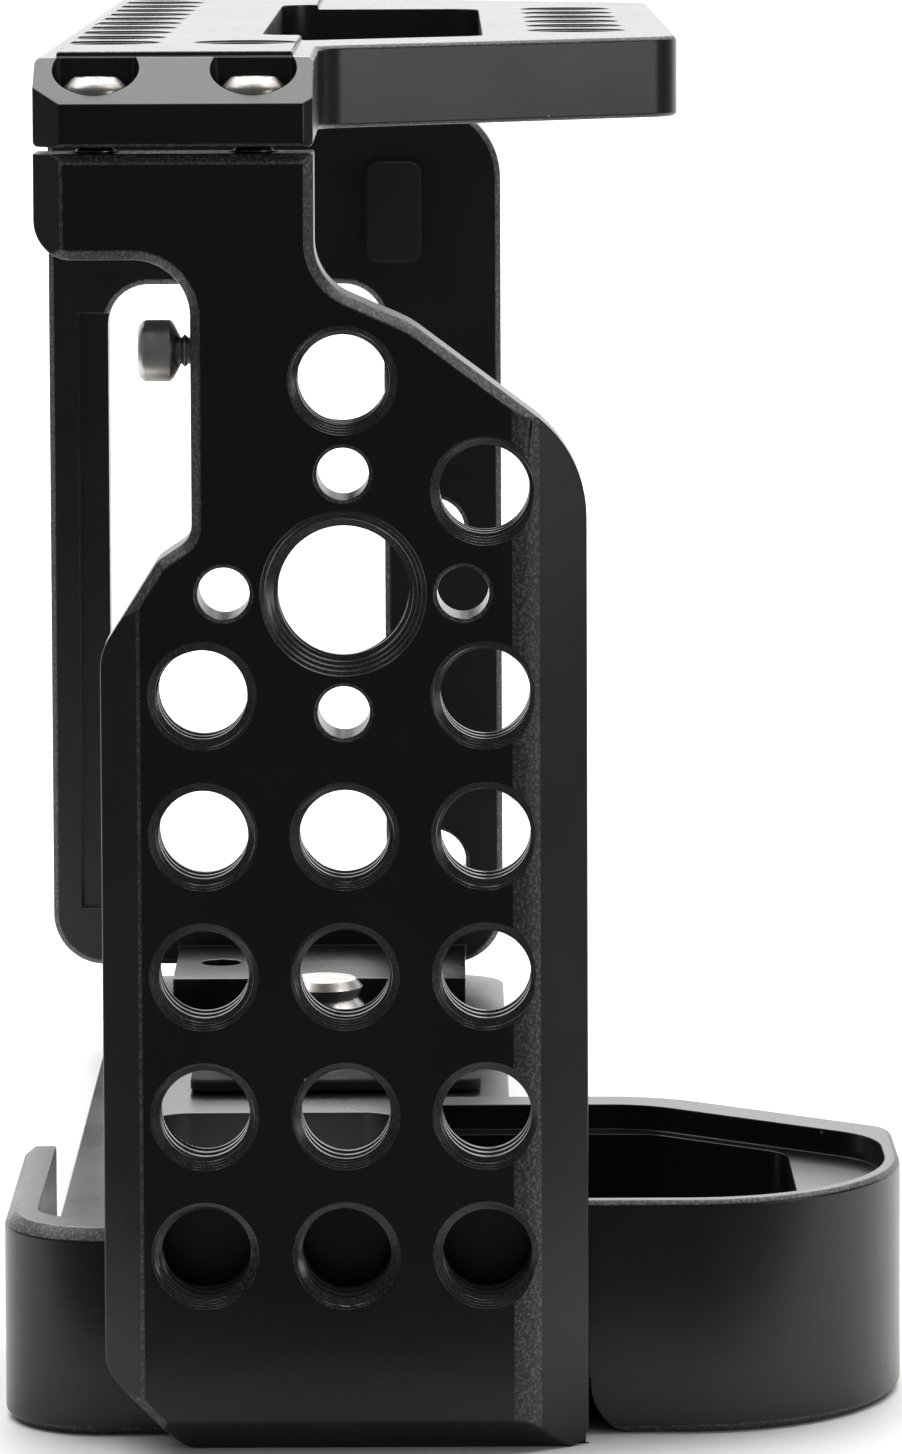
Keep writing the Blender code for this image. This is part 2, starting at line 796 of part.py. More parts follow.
def build_top_plate():
    """The top plate: back strip, slanted bar, hole rows, cut-out and screw counterbores."""
    strip = box_corners(near_face, far_face, -head_back, head_front, 0)
    top = new_object("top_plate", plan_mesh("top_plate", strip, top_bottom, top_surface))
    root = head_front - cut_overrun
    front = [
        (bar_near(root), root, 0),
        (bar_near(top_front), top_front, bar_corner_radius),
        (far_face - far_slant_end, top_front, bar_corner_radius),
        (far_face - far_slant_start, head_front, 0),
        (far_face - far_slant_start, root, 0),
    ]
    cut(top, "top_front", plan_mesh("top_front", front, top_bottom, top_surface), "UNION")
    plateau = box_corners(
        near_face + plateau_inset, far_face - plateau_inset, -plateau_back, plateau_front, 0)
    cut(top, "top_plateau", plan_mesh(
        "top_plateau", plateau, top_surface - plateau_height, top_surface + plateau_height), "UNION")
    cutout = [
        (bar_far(-cutout_back), -cutout_back, cutout_radius),
        (bar_far(cutout_front), cutout_front, cutout_radius),
        (far_face - cutout_far_inset, cutout_front, cutout_radius),
        (far_face - cutout_far_inset, -cutout_back, cutout_radius),
    ]
    above = top_surface + plateau_height + cut_overrun
    cut(top, "top_cutout", plan_mesh("top_cutout", cutout, top_bottom - cut_overrun, above))
    chamfer_top_edges(top, above)
    cut_top_holes(top, above)
    return place_part(top, "anodised")


def chamfer_top_edges(top, above):
    """Chamfer both ends of the back strip along the top, and bevel its grip-side back corner."""
    reach = head_back + cut_overrun
    edge = cut_overrun
    along_y = Matrix(((-1, 0, 0, 0), (0, 0, 1, 0), (0, 1, 0, 0), (0, 0, 0, 1)))
    low = top_surface - top_edge_chamfer_height
    slope = top_edge_chamfer_depth / top_edge_chamfer_height
    for name, face, sign in (("top_near_chamfer", near_face, 1), ("top_far_chamfer", far_face, -1)):
        profile = [
            (-(face - sign * edge), low - edge / slope, 0),
            (-(face - sign * edge), top_surface + edge, 0),
            (-(face + sign * (top_edge_chamfer_depth + edge * slope)), top_surface + edge, 0),
        ]
        cut(top, name, outline_mesh(
            name, profile, forward(-head_front + cut_overrun), forward(-reach), along_y))
    slope = head_bevel_depth / head_bevel_width
    cut(top, "top_back_bevel", wedge_mesh("top_back_bevel", [
        (near_face - edge, -head_back + head_bevel_width),
        (near_face, -head_back + head_bevel_width),
        (near_face + head_bevel_depth + edge * slope, -head_back - edge),
        (near_face - edge, -head_back - edge)], top_bottom - cut_overrun, above))


def top_screw_places(height):
    """Centres of the four screws through the top plate, grip side first."""
    ends = (near_face + top_screw_inset, far_face - port_screw_inset)
    return [(x, forward(-reach), height) for x in ends for reach in (top_screw_back, top_screw_front)]


def cut_top_holes(top, above):
    """Threaded holes of the strip and of the front bar, and the screw counterbores."""
    middle = (top_bottom + top_surface) / 2
    strip = [
        (near_face + strip_hole_inset + index * hole_pitch, forward(-strip_hole_back), middle)
        for index in range(holes_along(cage_width - 2 * strip_hole_inset))
    ]
    strip.append((near_face + strip_hole_inset, forward(-strip_hole_front), middle))
    strip.append((far_face - strip_hole_inset, forward(-strip_hole_front), middle))
    bar = [
        (near_face + bar_hole_inset + index * hole_pitch, forward(bar_hole_front), middle)
        for index in range(holes_along(cage_width - bar_hole_inset - bar_hole_far_inset))
    ]
    depth = top_thickness + 2 * cut_overrun
    cut(top, "top_threads", cylinder_mesh(
        "top_threads", strip + bar, quarter_inch_bore, depth, "Z", hole_sides))
    bore = top_screw_thread + 2 * screw_clearance
    cut(top, "top_screw_bores", cylinder_mesh(
        "top_screw_bores", top_screw_places(middle), bore, depth, "Z", small_hole_sides))
    seat = top_bottom + top_screw_seat_height
    cut(top, "top_counterbores", cylinder_mesh(
        "top_counterbores", top_screw_places((seat + above) / 2),
        top_screw_head + 2 * counterbore_clearance, above - seat, "Z", small_hole_sides))


def turned_object(name, profile):
    """A turned solid: radius and height pairs, top to bottom, spun about local Z."""
    mesh = bpy.data.meshes.new(name)
    shape = bmesh.new()
    verts = [shape.verts.new((radius, 0, height)) for radius, height in profile]
    for first, second in zip(verts, verts[1:]):
        shape.edges.new((first, second))
    shape.to_mesh(mesh)
    shape.free()
    piece = new_object(name, mesh)
    spin = piece.modifiers.new("spin", "SCREW")
    spin.axis = "Z"
    spin.angle = 2 * pi
    spin.steps = turned_steps
    spin.render_steps = turned_steps
    spin.use_merge_vertices = True
    spin.merge_threshold = weld_distance
    return piece


def hex_socket(piece, across, top, depth):
    """Cut a hexagonal socket into the top of a turned screw, in the screw's own frame."""
    name = piece.name + "_socket"
    corner = across / cos(pi / 6)
    mesh = cylinder_mesh(
        name, [(0, 0, top - (depth - cut_overrun) / 2)], corner, depth + cut_overrun, "Z", 6)
    tool = cut(piece, name, mesh)
    tool.parent = piece
    return tool


def build_top_screws():
    """Four silver socket screws that clamp the top plate to the plate and the frame."""
    names = ("top_screw_grip_back", "top_screw_grip_front", "top_screw_port_back", "top_screw_port_front")
    seat = top_bottom + top_screw_seat_height + joint_gap
    half_head = top_screw_head / 2
    half_thread = top_screw_thread / 2
    edge = top_screw_head_height / 4
    tip = -top_screw_length + joint_gap
    profile = [
        (0, top_screw_head_height),
        (half_head - edge, top_screw_head_height),
        (half_head, top_screw_head_height - edge),
        (half_head, 0),
        (half_thread, 0),
        (half_thread, tip + edge),
        (half_thread - edge, tip),
        (0, tip),
    ]
    for name, place in zip(names, top_screw_places(seat)):
        screw = turned_object(name, profile)
        screw.location = place
        hex_socket(screw, top_screw_socket, top_screw_head_height, top_screw_head_height * socket_depth_share)
        place_part(screw, "steel")


def build_flat_screws(prefix, places, length):
    """Flat-headed screws driven up from below."""
    half_head = flat_screw_head / 2
    half_thread = flat_screw_thread / 2
    edge = flat_screw_head_height / 4
    profile = [
        (0, length),
        (half_thread - edge, length),
        (half_thread, length - edge),
        (half_thread, flat_screw_head_height),
        (half_head, 0),
        (0, 0),
    ]
    for index, place in enumerate(places, start=1):
        screw = turned_object("%s_%d" % (prefix, index), profile)
        screw.location = place
        depth = flat_screw_head_height * socket_depth_share
        name = screw.name + "_socket"
        mesh = cylinder_mesh(
            name, [(0, 0, (depth - cut_overrun) / 2)], socket_across / cos(pi / 6),
            depth + cut_overrun, "Z", 6)
        cut(screw, name, mesh).parent = screw
        place_part(screw, "steel")


def build_camera_screw():
    """The captive screw that holds the camera, with a coin slot in its head."""
    half_head = camera_screw_head / 2
    half_thread = camera_screw_thread / 2
    half_neck = clip_neck / 2
    base = camera_screw_lift
    clip_low = clip_level() - base - joint_gap
    clip_high = clip_low + clip_thickness + 2 * joint_gap
    tip = camera_screw_tip_height - base
    profile = [
        (0, tip),
        (half_thread - tip_chamfer, tip),
        (half_thread, tip - tip_chamfer),
        (half_thread, clip_high),
        (half_neck, clip_high),
        (half_neck, clip_low),
        (half_thread, clip_low),
        (half_thread, camera_screw_head_height),
        (half_head, camera_screw_head_height),
        (half_head, 0),
        (0, 0),
    ]
    screw = turned_object("camera_screw", profile)
    screw.location = camera_screw_place(base)
    slot = box_corners(
        -half_head - cut_overrun, half_head + cut_overrun,
        -camera_screw_slot_width / 2, camera_screw_slot_width / 2, 0)
    mesh = outline_mesh("camera_screw_slot", slot, -cut_overrun, camera_screw_slot_depth, Matrix.Identity(4))
    cut(screw, "camera_screw_slot", mesh).parent = screw
    place_part(screw, "steel")
    build_clip()


def build_clip():
    """The open ring in the camera screw's groove that keeps it in the floor."""
    inner = clip_neck / 2 + joint_gap
    mesh = cylinder_mesh(
        "camera_screw_clip", [(0, 0, clip_thickness / 2)], clip_outer, clip_thickness, "Z", hole_sides)
    clip = new_object("camera_screw_clip", mesh)
    clip.location = camera_screw_place(clip_level())
    hole = cylinder_mesh("clip_hole", [(0, 0, 0)], 2 * inner, 2 * cut_overrun, "Z", hole_sides)
    cut(clip, "clip_hole", hole).parent = clip
    mouth = box_corners(0, clip_outer, -clip_mouth / 2, clip_mouth / 2, 0)
    cut(clip, "clip_gap", outline_mesh(
        "clip_gap", mouth, -cut_overrun, cut_overrun, Matrix.Identity(4))).parent = clip
    place_part(clip, "spring_steel")


def build_lug_screw():
    """The small cap screw in the neck's back edge, its axis front to back."""
    half_head = lug_screw_head / 2
    half_thread = lug_screw_thread / 2
    inside = lug_screw_stand_off + lug_screw_grip - joint_gap
    profile = [
        (0, lug_screw_head_length),
        (half_head - lug_screw_chamfer, lug_screw_head_length),
        (half_head, lug_screw_head_length - lug_screw_chamfer),
        (half_head, 0),
        (half_thread, 0),
        (half_thread, -inside + lug_screw_chamfer),
        (half_thread - lug_screw_chamfer, -inside),
        (0, -inside),
    ]
    screw = turned_object("lug_screw", profile)
    screw.location = (
        near_face + lug_screw_inset, forward(-neck_back - lug_screw_stand_off),
        plate_height - lug_screw_drop)
    screw.rotation_euler = (-pi / 2, 0, 0)
    hex_socket(screw, lug_screw_socket, lug_screw_head_length, lug_screw_head_length * socket_depth_share)
    place_part(screw, "steel")


def build_pads():
    """Rubber pads on the floor and one on the port frame's inner face."""
    pads = [
        (name, near_face + near, near_face + far, back, front)
        for name, near, far, back, front in grip_pad_places
    ]
    pads += [
        (name, far_face - near, far_face - far, back, front)
        for name, near, far, back, front in port_pad_places
    ]
    for name, near, far, back, front in pads:
        corners = box_corners(near, far, -back, front, pad_radius)
        pad = new_object(name, plan_mesh(name, corners, pad_base, pad_base + pad_thickness))
        place_part(pad, "rubber")
    corners = box_corners(
        -frame_pad_back, frame_pad_front, frame_top - frame_pad_low_drop,
        frame_top - frame_pad_high_drop, pad_radius)
    outer = frame_inner_face - joint_gap
    pad = new_object("frame_pad", side_mesh("frame_pad", corners, outer - pad_thickness, outer))
    place_part(pad, "rubber")


clear_scene()
parts = make_collection("camera_cage")
tools = make_collection("cutters")
build_base()
build_side_plate()
build_frame()
build_top_plate()
build_top_screws()
build_flat_screws("grip_foot_screw", foot_screw_places(flat_screw_recess), foot_screw_length)
build_flat_screws("port_foot_screw", frame_foot_screw_places(flat_screw_recess), frame_foot_screw_length)
build_camera_screw()
build_lug_screw()
build_pads()
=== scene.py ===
"""Camera cage, dressed for its picture: black bead-blasted aluminium with bright steel screws.

Sizes are in millimetres and places are (x, forward, z): x runs from the grip side to the port
side, forward is measured from the middle hole column of the cheese plate, z is up.
"""
import logging
from collections.abc import Callable
from dataclasses import dataclass, field
from enum import Enum
from math import acos, atan2, ceil, cos, hypot, pi, radians, sin, tan

import bmesh
import bpy
from mathutils import Matrix, Vector


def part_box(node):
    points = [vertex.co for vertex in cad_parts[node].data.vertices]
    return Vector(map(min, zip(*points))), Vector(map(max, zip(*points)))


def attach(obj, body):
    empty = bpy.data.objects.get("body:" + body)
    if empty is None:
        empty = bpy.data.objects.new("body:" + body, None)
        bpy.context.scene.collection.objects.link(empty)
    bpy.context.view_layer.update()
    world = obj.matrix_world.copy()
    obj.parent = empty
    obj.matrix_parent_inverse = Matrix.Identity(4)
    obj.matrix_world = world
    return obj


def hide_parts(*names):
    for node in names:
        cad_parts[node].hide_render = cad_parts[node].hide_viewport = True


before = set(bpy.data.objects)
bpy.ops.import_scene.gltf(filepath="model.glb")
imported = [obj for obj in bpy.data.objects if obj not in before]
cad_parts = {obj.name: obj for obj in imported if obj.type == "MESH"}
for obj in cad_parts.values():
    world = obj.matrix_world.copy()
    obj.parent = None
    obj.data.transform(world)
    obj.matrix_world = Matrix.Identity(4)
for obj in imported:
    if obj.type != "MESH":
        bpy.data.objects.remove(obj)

MM = 0.001
COLUMN_BACK = 4.8

Corner = tuple[float, float, float]
Point = tuple[float, float]
Place = tuple[float, float, float]
Ring = tuple[float, float, bool]

log = logging.getLogger("camera_cage")


def extent(node: str) -> tuple[Vector, Vector]:
    """The box of a CAD node in millimetres.

    Args:
        node: the node's name.

    Returns:
        Its lowest and highest corner.
    """
    low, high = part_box(node)
    return (
        Vector([round(value, 3) for value in (low.x / MM, COLUMN_BACK - high.y / MM, low.z / MM)]),
        Vector([round(value, 3) for value in (high.x / MM, COLUMN_BACK - low.y / MM, high.z / MM)]))


NEAR_FACE = round(extent("grip_side_plate")[0].x, 3)
FAR_FACE = round(extent("port_side_frame")[1].x, 3)
PLATE_TOP = round(extent("grip_side_plate")[1].z, 3)
OVERRUN = 2.0
SMALL_BORE = 3.1
LUG_BORE = 2.6
LUG_DEPTH = 5.8
LUG_X = NEAR_FACE + 2.35
LUG_HEIGHT = 68.4
CLAMP_DEPTH = 6.7
CLAMP_REACHES = (-15.1, -5.4)
CLAMP_XS = (NEAR_FACE + 3.0, FAR_FACE - 2.6)
GRIP_FOOT_X = -57.65
GRIP_FOOT_REACHES = (-3.9, 3.0, 9.9)
PORT_FOOT_X = 57.9
PORT_FOOT_REACHES = (-11.85, 4.15)
CAMERA_SCREW_X = 42.0
CAMERA_SCREW_REACH = -3.3
SCREW_PITCH = 0.45
ROLL_STEPS = 6
MARK_SHARE = 0.05
POCKET_STEPS = 40
WELD = 0.002
SLIVER = 0.001
FLAT_ANGLE = 0.3
SLIT_REACHES = (0.002, 0.005, 0.01, 0.02)
SINK_RADIUS = 2.5
SINK_DEPTH = 1.4
COPIES_SHARP_ANGLE = 35.0


class Plane(Enum):
    """The plane that an outline is drawn in; the piece is extruded along the third axis."""

    SIDE = "forward and height, extruded from grip side to port side"
    PLAN = "x and forward, extruded upwards"
    END = "x and height, extruded forwards"


class Operation(Enum):
    """How one solid changes another."""

    CUT = "DIFFERENCE"
    JOIN = "UNION"


class Face(Enum):
    """Which finish of a piece a face takes: its place in the material list."""

    BODY = 0
    EDGE = 1
    THREAD = 2


def row(x: float, forward: float, z: float) -> Vector:
    """A place in millimetres as a world position in metres."""
    return Vector((x, COLUMN_BACK - forward, z)) * MM


def plane_place(plane: Plane, a: float, b: float, level: float) -> Vector:
    """A point of an outline at a level, as a world position.

    Args:
        plane: the outline's plane.
        a: first coordinate in the plane.
        b: second coordinate in the plane.
        level: place along the extrusion.

    Returns:
        The world position in metres.
    """
    if plane is Plane.SIDE:
        return row(level, a, b)
    if plane is Plane.PLAN:
        return row(a, b, level)
    return row(a, level, b)


def rounded(corners: list[Corner], step: float = radians(5)) -> list[Point]:
    """Outline points of a polygon whose corners (a, b, radius) are rounded.

    Args:
        corners: corner points, each with its radius, 0 for a sharp corner.
        step: largest angle between two points of an arc.

    Returns:
        The outline's points in order.
    """
    points: list[Point] = []
    for index, (a, b, radius) in enumerate(corners):
        if radius == 0:
            points.append((a, b))
            continue
        before, after = corners[index - 1], corners[(index + 1) % len(corners)]
        corner = Vector((a, b))
        back = (Vector(before[:2]) - corner).normalized()
        ahead = (Vector(after[:2]) - corner).normalized()
        half = back.angle(ahead) / 2
        centre = corner + (back + ahead).normalized() * (radius / sin(half))
        start = corner + back * (radius / tan(half)) - centre
        end = corner + ahead * (radius / tan(half)) - centre
        first = atan2(start.y, start.x)
        sweep = (atan2(end.y, end.x) - first + pi) % (2 * pi) - pi
        steps = max(2, ceil(abs(sweep) / step))
        for number in range(steps + 1):
            angle = first + sweep * number / steps
            points.append((centre.x + radius * cos(angle), centre.y + radius * sin(angle)))
    return points


def inset(points: list[Point], distance: float) -> list[Point]:
    """The outline moved inwards by a distance, point by point.

    Args:
        points: the outline.
        distance: how far each side moves in; negative moves out.

    Returns:
        The moved points, as many as before.
    """
    area = sum(a[0] * b[1] - b[0] * a[1] for a, b in zip(points, points[1:] + points[:1]))
    turn = 1.0 if area > 0 else -1.0
    moved: list[Point] = []
    for index, point in enumerate(points):
        before, after = points[index - 1], points[(index + 1) % len(points)]
        first = Vector((point[0] - before[0], point[1] - before[1])).normalized()
        second = Vector((after[0] - point[0], after[1] - point[1])).normalized()
        left = Vector((-first.y, first.x)) * turn
        right = Vector((-second.y, second.x)) * turn
        miter = (left + right) / max(1 + left.dot(right), 0.2)
        moved.append((point[0] + miter.x * distance, point[1] + miter.y * distance))
    return moved


def oblong(low: Point, high: Point, radius: float = 0.0) -> list[Point]:
    """The outline of a rectangle.

    Args:
        low: its corner with the lowest values.
        high: its corner with the highest values.
        radius: radius of its corners, 0 for sharp ones.

    Returns:
        The outline's points in order.
    """
    return rounded([
        (low[0], low[1], radius), (high[0], low[1], radius),
        (high[0], high[1], radius), (low[0], high[1], radius)])


def stand(name: str, data: bpy.types.ID) -> bpy.types.Object:
    """Put a mesh, a camera or a lamp into the scene.

    Args:
        name: the object's name.
        data: what the object shows.

    Returns:
        The object.
    """
    thing = bpy.data.objects.new(name, data)
    bpy.context.scene.collection.objects.link(thing)
    return thing


def finish_shape(shape: bmesh.types.BMesh, name: str, placed: bool = False) -> bpy.types.Object:
    """Turn a bmesh into an object in the scene, its faces pointing outwards.

    Args:
        shape: the mesh being built, freed afterwards.
        name: the object's name.
        placed: whether the faces already point the right way.

    Returns:
        The new object.
    """
    if not placed:
        bmesh.ops.recalc_face_normals(shape, faces=shape.faces)
    mesh = bpy.data.meshes.new(name)
    shape.to_mesh(mesh)
    shape.free()
    return stand(name, mesh)


def skin(
    shape: bmesh.types.BMesh, rings: list[list[bmesh.types.BMVert]], edged: Callable[[int, int], bool]
) -> None:
    """Close a stack of rings with bands of faces and a cap at each end.

    Args:
        shape: the mesh being built.
        rings: the rings, all with as many vertices.
        edged: whether the face of a band and a side takes the edge finish.
    """
    for band, (low, high) in enumerate(zip(rings, rings[1:])):
        for side in range(len(low)):
            after = (side + 1) % len(low)
            face = shape.faces.new((low[side], low[after], high[after], high[side]))
            if edged(band, side):
                face.material_index = Face.EDGE.value
    shape.faces.new(rings[0])
    shape.faces.new(rings[-1])


def prism(
    name: str,
    plane: Plane,
    points: list[Point],
    levels: list[tuple[float, float]],
    edge_rings: tuple[int, ...] = (),
    edge_sides: range = range(0),
) -> bpy.types.Object:
    """A closed solid of one outline, with its rims broken where a level is inset.

    Args:
        name: the object's name.
        plane: the plane of the outline.
        points: the outline.
        levels: (place along the extrusion, inset) of each ring, in order.
        edge_rings: the bands between rings that take the edge finish, counted from 0.
        edge_sides: the sides of the outline that take it.

    Returns:
        The solid.
    """
    shape = bmesh.new()
    rings = []
    for level, distance in levels:
        ring = inset(points, distance) if distance else points
        rings.append([shape.verts.new(plane_place(plane, a, b, level)) for a, b in ring])
    skin(shape, rings, lambda band, side: band in edge_rings or side in edge_sides)
    return finish_shape(shape, name)


def spun(
    name: str,
    plane: Plane,
    places: list[Place],
    profile: list[Ring],
    segments: int,
) -> bpy.types.Object:
    """Solids of revolution about the extrusion axis of a plane, one at each place.

    Args:
        name: the object's name.
        plane: its extrusion axis is the axis of the solids.
        places: centres as (a, b, level) in the plane.
        profile: (radius, level offset, edge finish from here on) from one end to the other.
        segments: sides round the axis.

    Returns:
        One object with all the solids.
    """
    shape = bmesh.new()
    for a, b, level in places:
        rings = [
            [
                shape.verts.new(plane_place(
                    plane, a + radius * cos(2 * pi * side / segments),
                    b + radius * sin(2 * pi * side / segments), level + offset))
                for side in range(segments)
            ]
            for radius, offset, _ in profile
        ]
        skin(shape, rings, lambda band, side: profile[band][2])
    return finish_shape(shape, name)


def change(piece: bpy.types.Object, tool: bpy.types.Object, operation: Operation = Operation.CUT) -> None:
    """Cut a tool from a piece, or join it on, and drop the tool.

    Args:
        piece: the solid that changes.
        tool: the other solid.
        operation: cut or join.
    """
    modifier = piece.modifiers.new("work", "BOOLEAN")
    modifier.operation = operation.value
    modifier.solver = "EXACT"
    modifier.object = tool
    settle(piece)
    bpy.data.objects.remove(tool, do_unlink=True)


def settle(piece: bpy.types.Object) -> None:
    """Put a piece's modifiers into its mesh and take them off.

    Args:
        piece: the piece.
    """
    graph = bpy.context.evaluated_depsgraph_get()
    mesh = bpy.data.meshes.new_from_object(
        piece.evaluated_get(graph), preserve_all_data_layers=True, depsgraph=graph)
    piece.modifiers.clear()
    piece.data = mesh


def close_slits(piece: bpy.types.Object) -> None:
    """Weld the hair-thin slits that rounding leaves, and fill what stays open.

    Args:
        piece: the rounded solid.
    """
    shape = bmesh.new()
    shape.from_mesh(piece.data)
    for reach in SLIT_REACHES:
        open_edges = [edge for edge in shape.edges if len(edge.link_faces) != 2]
        if not open_edges:
            break
        near = list(dict.fromkeys(vertex for edge in open_edges for vertex in edge.verts))
        bmesh.ops.remove_doubles(shape, verts=near, dist=reach * MM)
        bmesh.ops.dissolve_degenerate(shape, edges=shape.edges, dist=SLIVER * MM)
    gaps = [edge for edge in shape.edges if len(edge.link_faces) == 1]
    if gaps:
        bmesh.ops.holes_fill(shape, edges=gaps, sides=0)
    shape.to_mesh(piece.data)
    shape.free()


def break_edges(piece: bpy.types.Object, width: float, angle: float = 24.0, steps: int = 3) -> None:
    """Round every sharp edge a little so it catches the light; its faces take the edge finish, whose lighter
    colour is partly a painted highlight.

    Args:
        piece: the solid. The edges of its thread faces stay as they are.
        width: width of the rounding in millimetres.
        angle: edges that turn more than this many degrees are rounded.
        steps: faces across the rounding.
    """
    shape = bmesh.new()
    shape.from_mesh(piece.data)
    bmesh.ops.remove_doubles(shape, verts=shape.verts, dist=WELD * MM)
    bmesh.ops.dissolve_degenerate(shape, edges=shape.edges, dist=WELD * MM)
    bmesh.ops.dissolve_limit(
        shape, angle_limit=radians(FLAT_ANGLE), verts=shape.verts, edges=shape.edges, delimit={"MATERIAL"})
    weight = shape.edges.layers.float.new("bevel_weight_edge")
    for rim in shape.edges:
        smooth_side = any(side.material_index == Face.THREAD.value for side in rim.link_faces)
        if not smooth_side and rim.calc_face_angle(0.0) > radians(angle):
            rim[weight] = 1.0
    shape.to_mesh(piece.data)
    shape.free()
    low = [min(vertex.co[axis] for vertex in piece.data.vertices) for axis in range(3)]
    high = [max(vertex.co[axis] for vertex in piece.data.vertices) for axis in range(3)]
    bevel = piece.modifiers.new("broken_edges", "BEVEL")
    bevel.width = width * MM
    bevel.segments = steps
    bevel.limit_method = "WEIGHT"
    bevel.use_clamp_overlap = False
    bevel.miter_outer = "MITER_SHARP"
    # The rounding's faces take the edge finish: its lighter colour is partly edge wear, partly a painted
    # highlight.
    bevel.material = Face.EDGE.value
    settle(piece)
    for vertex in piece.data.vertices:
        vertex.co = [min(max(vertex.co[axis], low[axis]), high[axis]) for axis in range(3)]
    close_slits(piece)


def shade(piece: bpy.types.Object, angle: float = 35.0) -> None:
    """Shade a piece smoothly with its sharp edges kept.

    Args:
        piece: the piece.
        angle: edges that turn more than this many degrees stay sharp.
    """
    piece.data.shade_smooth()
    piece.data.set_sharp_from_angle(angle=radians(angle))


def smooth(piece: bpy.types.Object, angle: float = 28.0) -> None:
    """Shade a finished piece smoothly, flat faces leading and sharp edges kept.

    Args:
        piece: the finished solid.
        angle: edges that turn more than this many degrees stay sharp.
    """
    shade(piece, angle)
    weigh = piece.modifiers.new("even_shading", "WEIGHTED_NORMAL")
    weigh.mode = "FACE_AREA"
    weigh.weight = 80
    weigh.keep_sharp = True
    settle(piece)


def shaft(radius: float, low: float, high: float) -> list[Ring]:
    """Profile of a plain hole for spun()."""
    return [(radius, low, False), (radius, high, False)]


def turned_bore(bore: float, rim: float, near: float, far: float, marks: int = 4) -> list[Ring]:
    """Profile of a countersunk hole whose cones carry turning marks.

    Args:
        bore: radius of the hole.
        rim: radius of the countersink at the faces.
        near: first face, measured from the hole's place.
        far: second face, measured from the hole's place.
        marks: grooves on each cone.

    Returns:
        A profile for spun().
    """
    sink = rim - bore
    cone: list[Point] = [(rim + OVERRUN, -OVERRUN)]
    for number in range(marks):
        share = (number + 0.5) / marks
        cone.append((rim - sink * number / marks, sink * number / marks))
        cone.append((rim - sink * share + sink * MARK_SHARE, sink * share + sink * MARK_SHARE))
    cone.append((bore, sink))
    lower = [(radius, near + depth, True) for radius, depth in cone]
    upper = [(radius, far - depth, True) for radius, depth in reversed(cone)]
    return lower + upper


def bore_profile(bore: float, rim: float, near: float, far: float, beyond: float = 1.0) -> list[Ring]:
    """Profile of a through hole with a countersunk rim at both faces.

    Args:
        bore: radius of the hole.
        rim: radius of the countersink at the face.
        near: first face, measured from the hole's place.
        far: second face, measured from the hole's place.
        beyond: how far the tool reaches past each face.

    Returns:
        A profile for spun().
    """
    sink = rim - bore
    return [
        (rim + beyond, near - beyond, True),
        (rim, near, True),
        (bore, near + sink, False),
        (bore, far - sink, True),
        (rim, far, True),
        (rim + beyond, far + beyond, False),
    ]


SINK: list[Ring] = [
    (SINK_RADIUS, -1.0, False), (SINK_RADIUS, 0.0, False),
    (SMALL_BORE / 2, SINK_DEPTH, False), (SMALL_BORE / 2, 5.0, False)]


def tap_clamps(piece: bpy.types.Object, x: float, top: float) -> None:
    """Drill the two blind holes that a pair of clamp screws goes into.

    Args:
        piece: the solid.
        x: the holes' place across the cage.
        top: height of the face that they start from.
    """
    places = [(x, reach, top) for reach in CLAMP_REACHES]
    change(piece, spun(
        "clamp_taps", Plane.PLAN, places, shaft(SMALL_BORE / 2, -CLAMP_DEPTH, OVERRUN), 24))


# Finishes


class NodeSheet:
    """A small helper that adds shader nodes and wires them by socket name."""

    def __init__(self, tree: bpy.types.NodeTree) -> None:
        """Keep the tree to add nodes to."""
        self.tree = tree

    def add(self, kind: str, **settings: object) -> bpy.types.Node:
        """Add a node and set its plain properties.

        Args:
            kind: the node's type.
            settings: its properties by name.

        Returns:
            The node.
        """
        node = self.tree.nodes.new(kind)
        for name, value in settings.items():
            setattr(node, name, value)
        return node

    def wire(self, source: bpy.types.NodeSocket, target: bpy.types.NodeSocket) -> None:
        """Join two sockets."""
        self.tree.links.new(source, target)


def noise(sheet: NodeSheet, coordinate: bpy.types.NodeSocket, scale: float, detail: float) -> bpy.types.Node:
    """A noise pattern on a coordinate.

    Args:
        sheet: where the node is added.
        coordinate: what it varies over.
        scale: its features are about 1/scale metres wide.
        detail: octaves.

    Returns:
        The noise node.
    """
    node = sheet.add("ShaderNodeTexNoise")
    node.inputs["Scale"].default_value = scale
    node.inputs["Detail"].default_value = detail
    sheet.wire(coordinate, node.inputs["Vector"])
    return node


def value_range(
    sheet: NodeSheet, source: bpy.types.NodeSocket, span: tuple[float, float], result: tuple[float, float]
) -> bpy.types.NodeSocket:
    """Map a changing value from one range to another, clamped.

    Args:
        sheet: where the node is added.
        source: the value.
        span: its range.
        result: the range it becomes.

    Returns:
        The mapped value.
    """
    node = sheet.add("ShaderNodeMapRange")
    node.inputs["From Min"].default_value, node.inputs["From Max"].default_value = span
    node.inputs["To Min"].default_value, node.inputs["To Max"].default_value = result
    sheet.wire(source, node.inputs["Value"])
    return node.outputs["Result"]


def roughen(
    sheet: NodeSheet, shader: bpy.types.Node, height: bpy.types.NodeSocket, strength: float, depth: float
) -> None:
    """Give a shader a bump.

    Args:
        sheet: where the node is added.
        shader: the shader.
        height: the height that the bump follows.
        strength: how strong it is, up to 1.
        depth: how deep it is in millimetres.
    """
    bump = sheet.add("ShaderNodeBump")
    bump.inputs["Strength"].default_value = strength
    bump.inputs["Distance"].default_value = depth * MM
    sheet.wire(height, bump.inputs["Height"])
    sheet.wire(bump.outputs["Normal"], shader.inputs["Normal"])


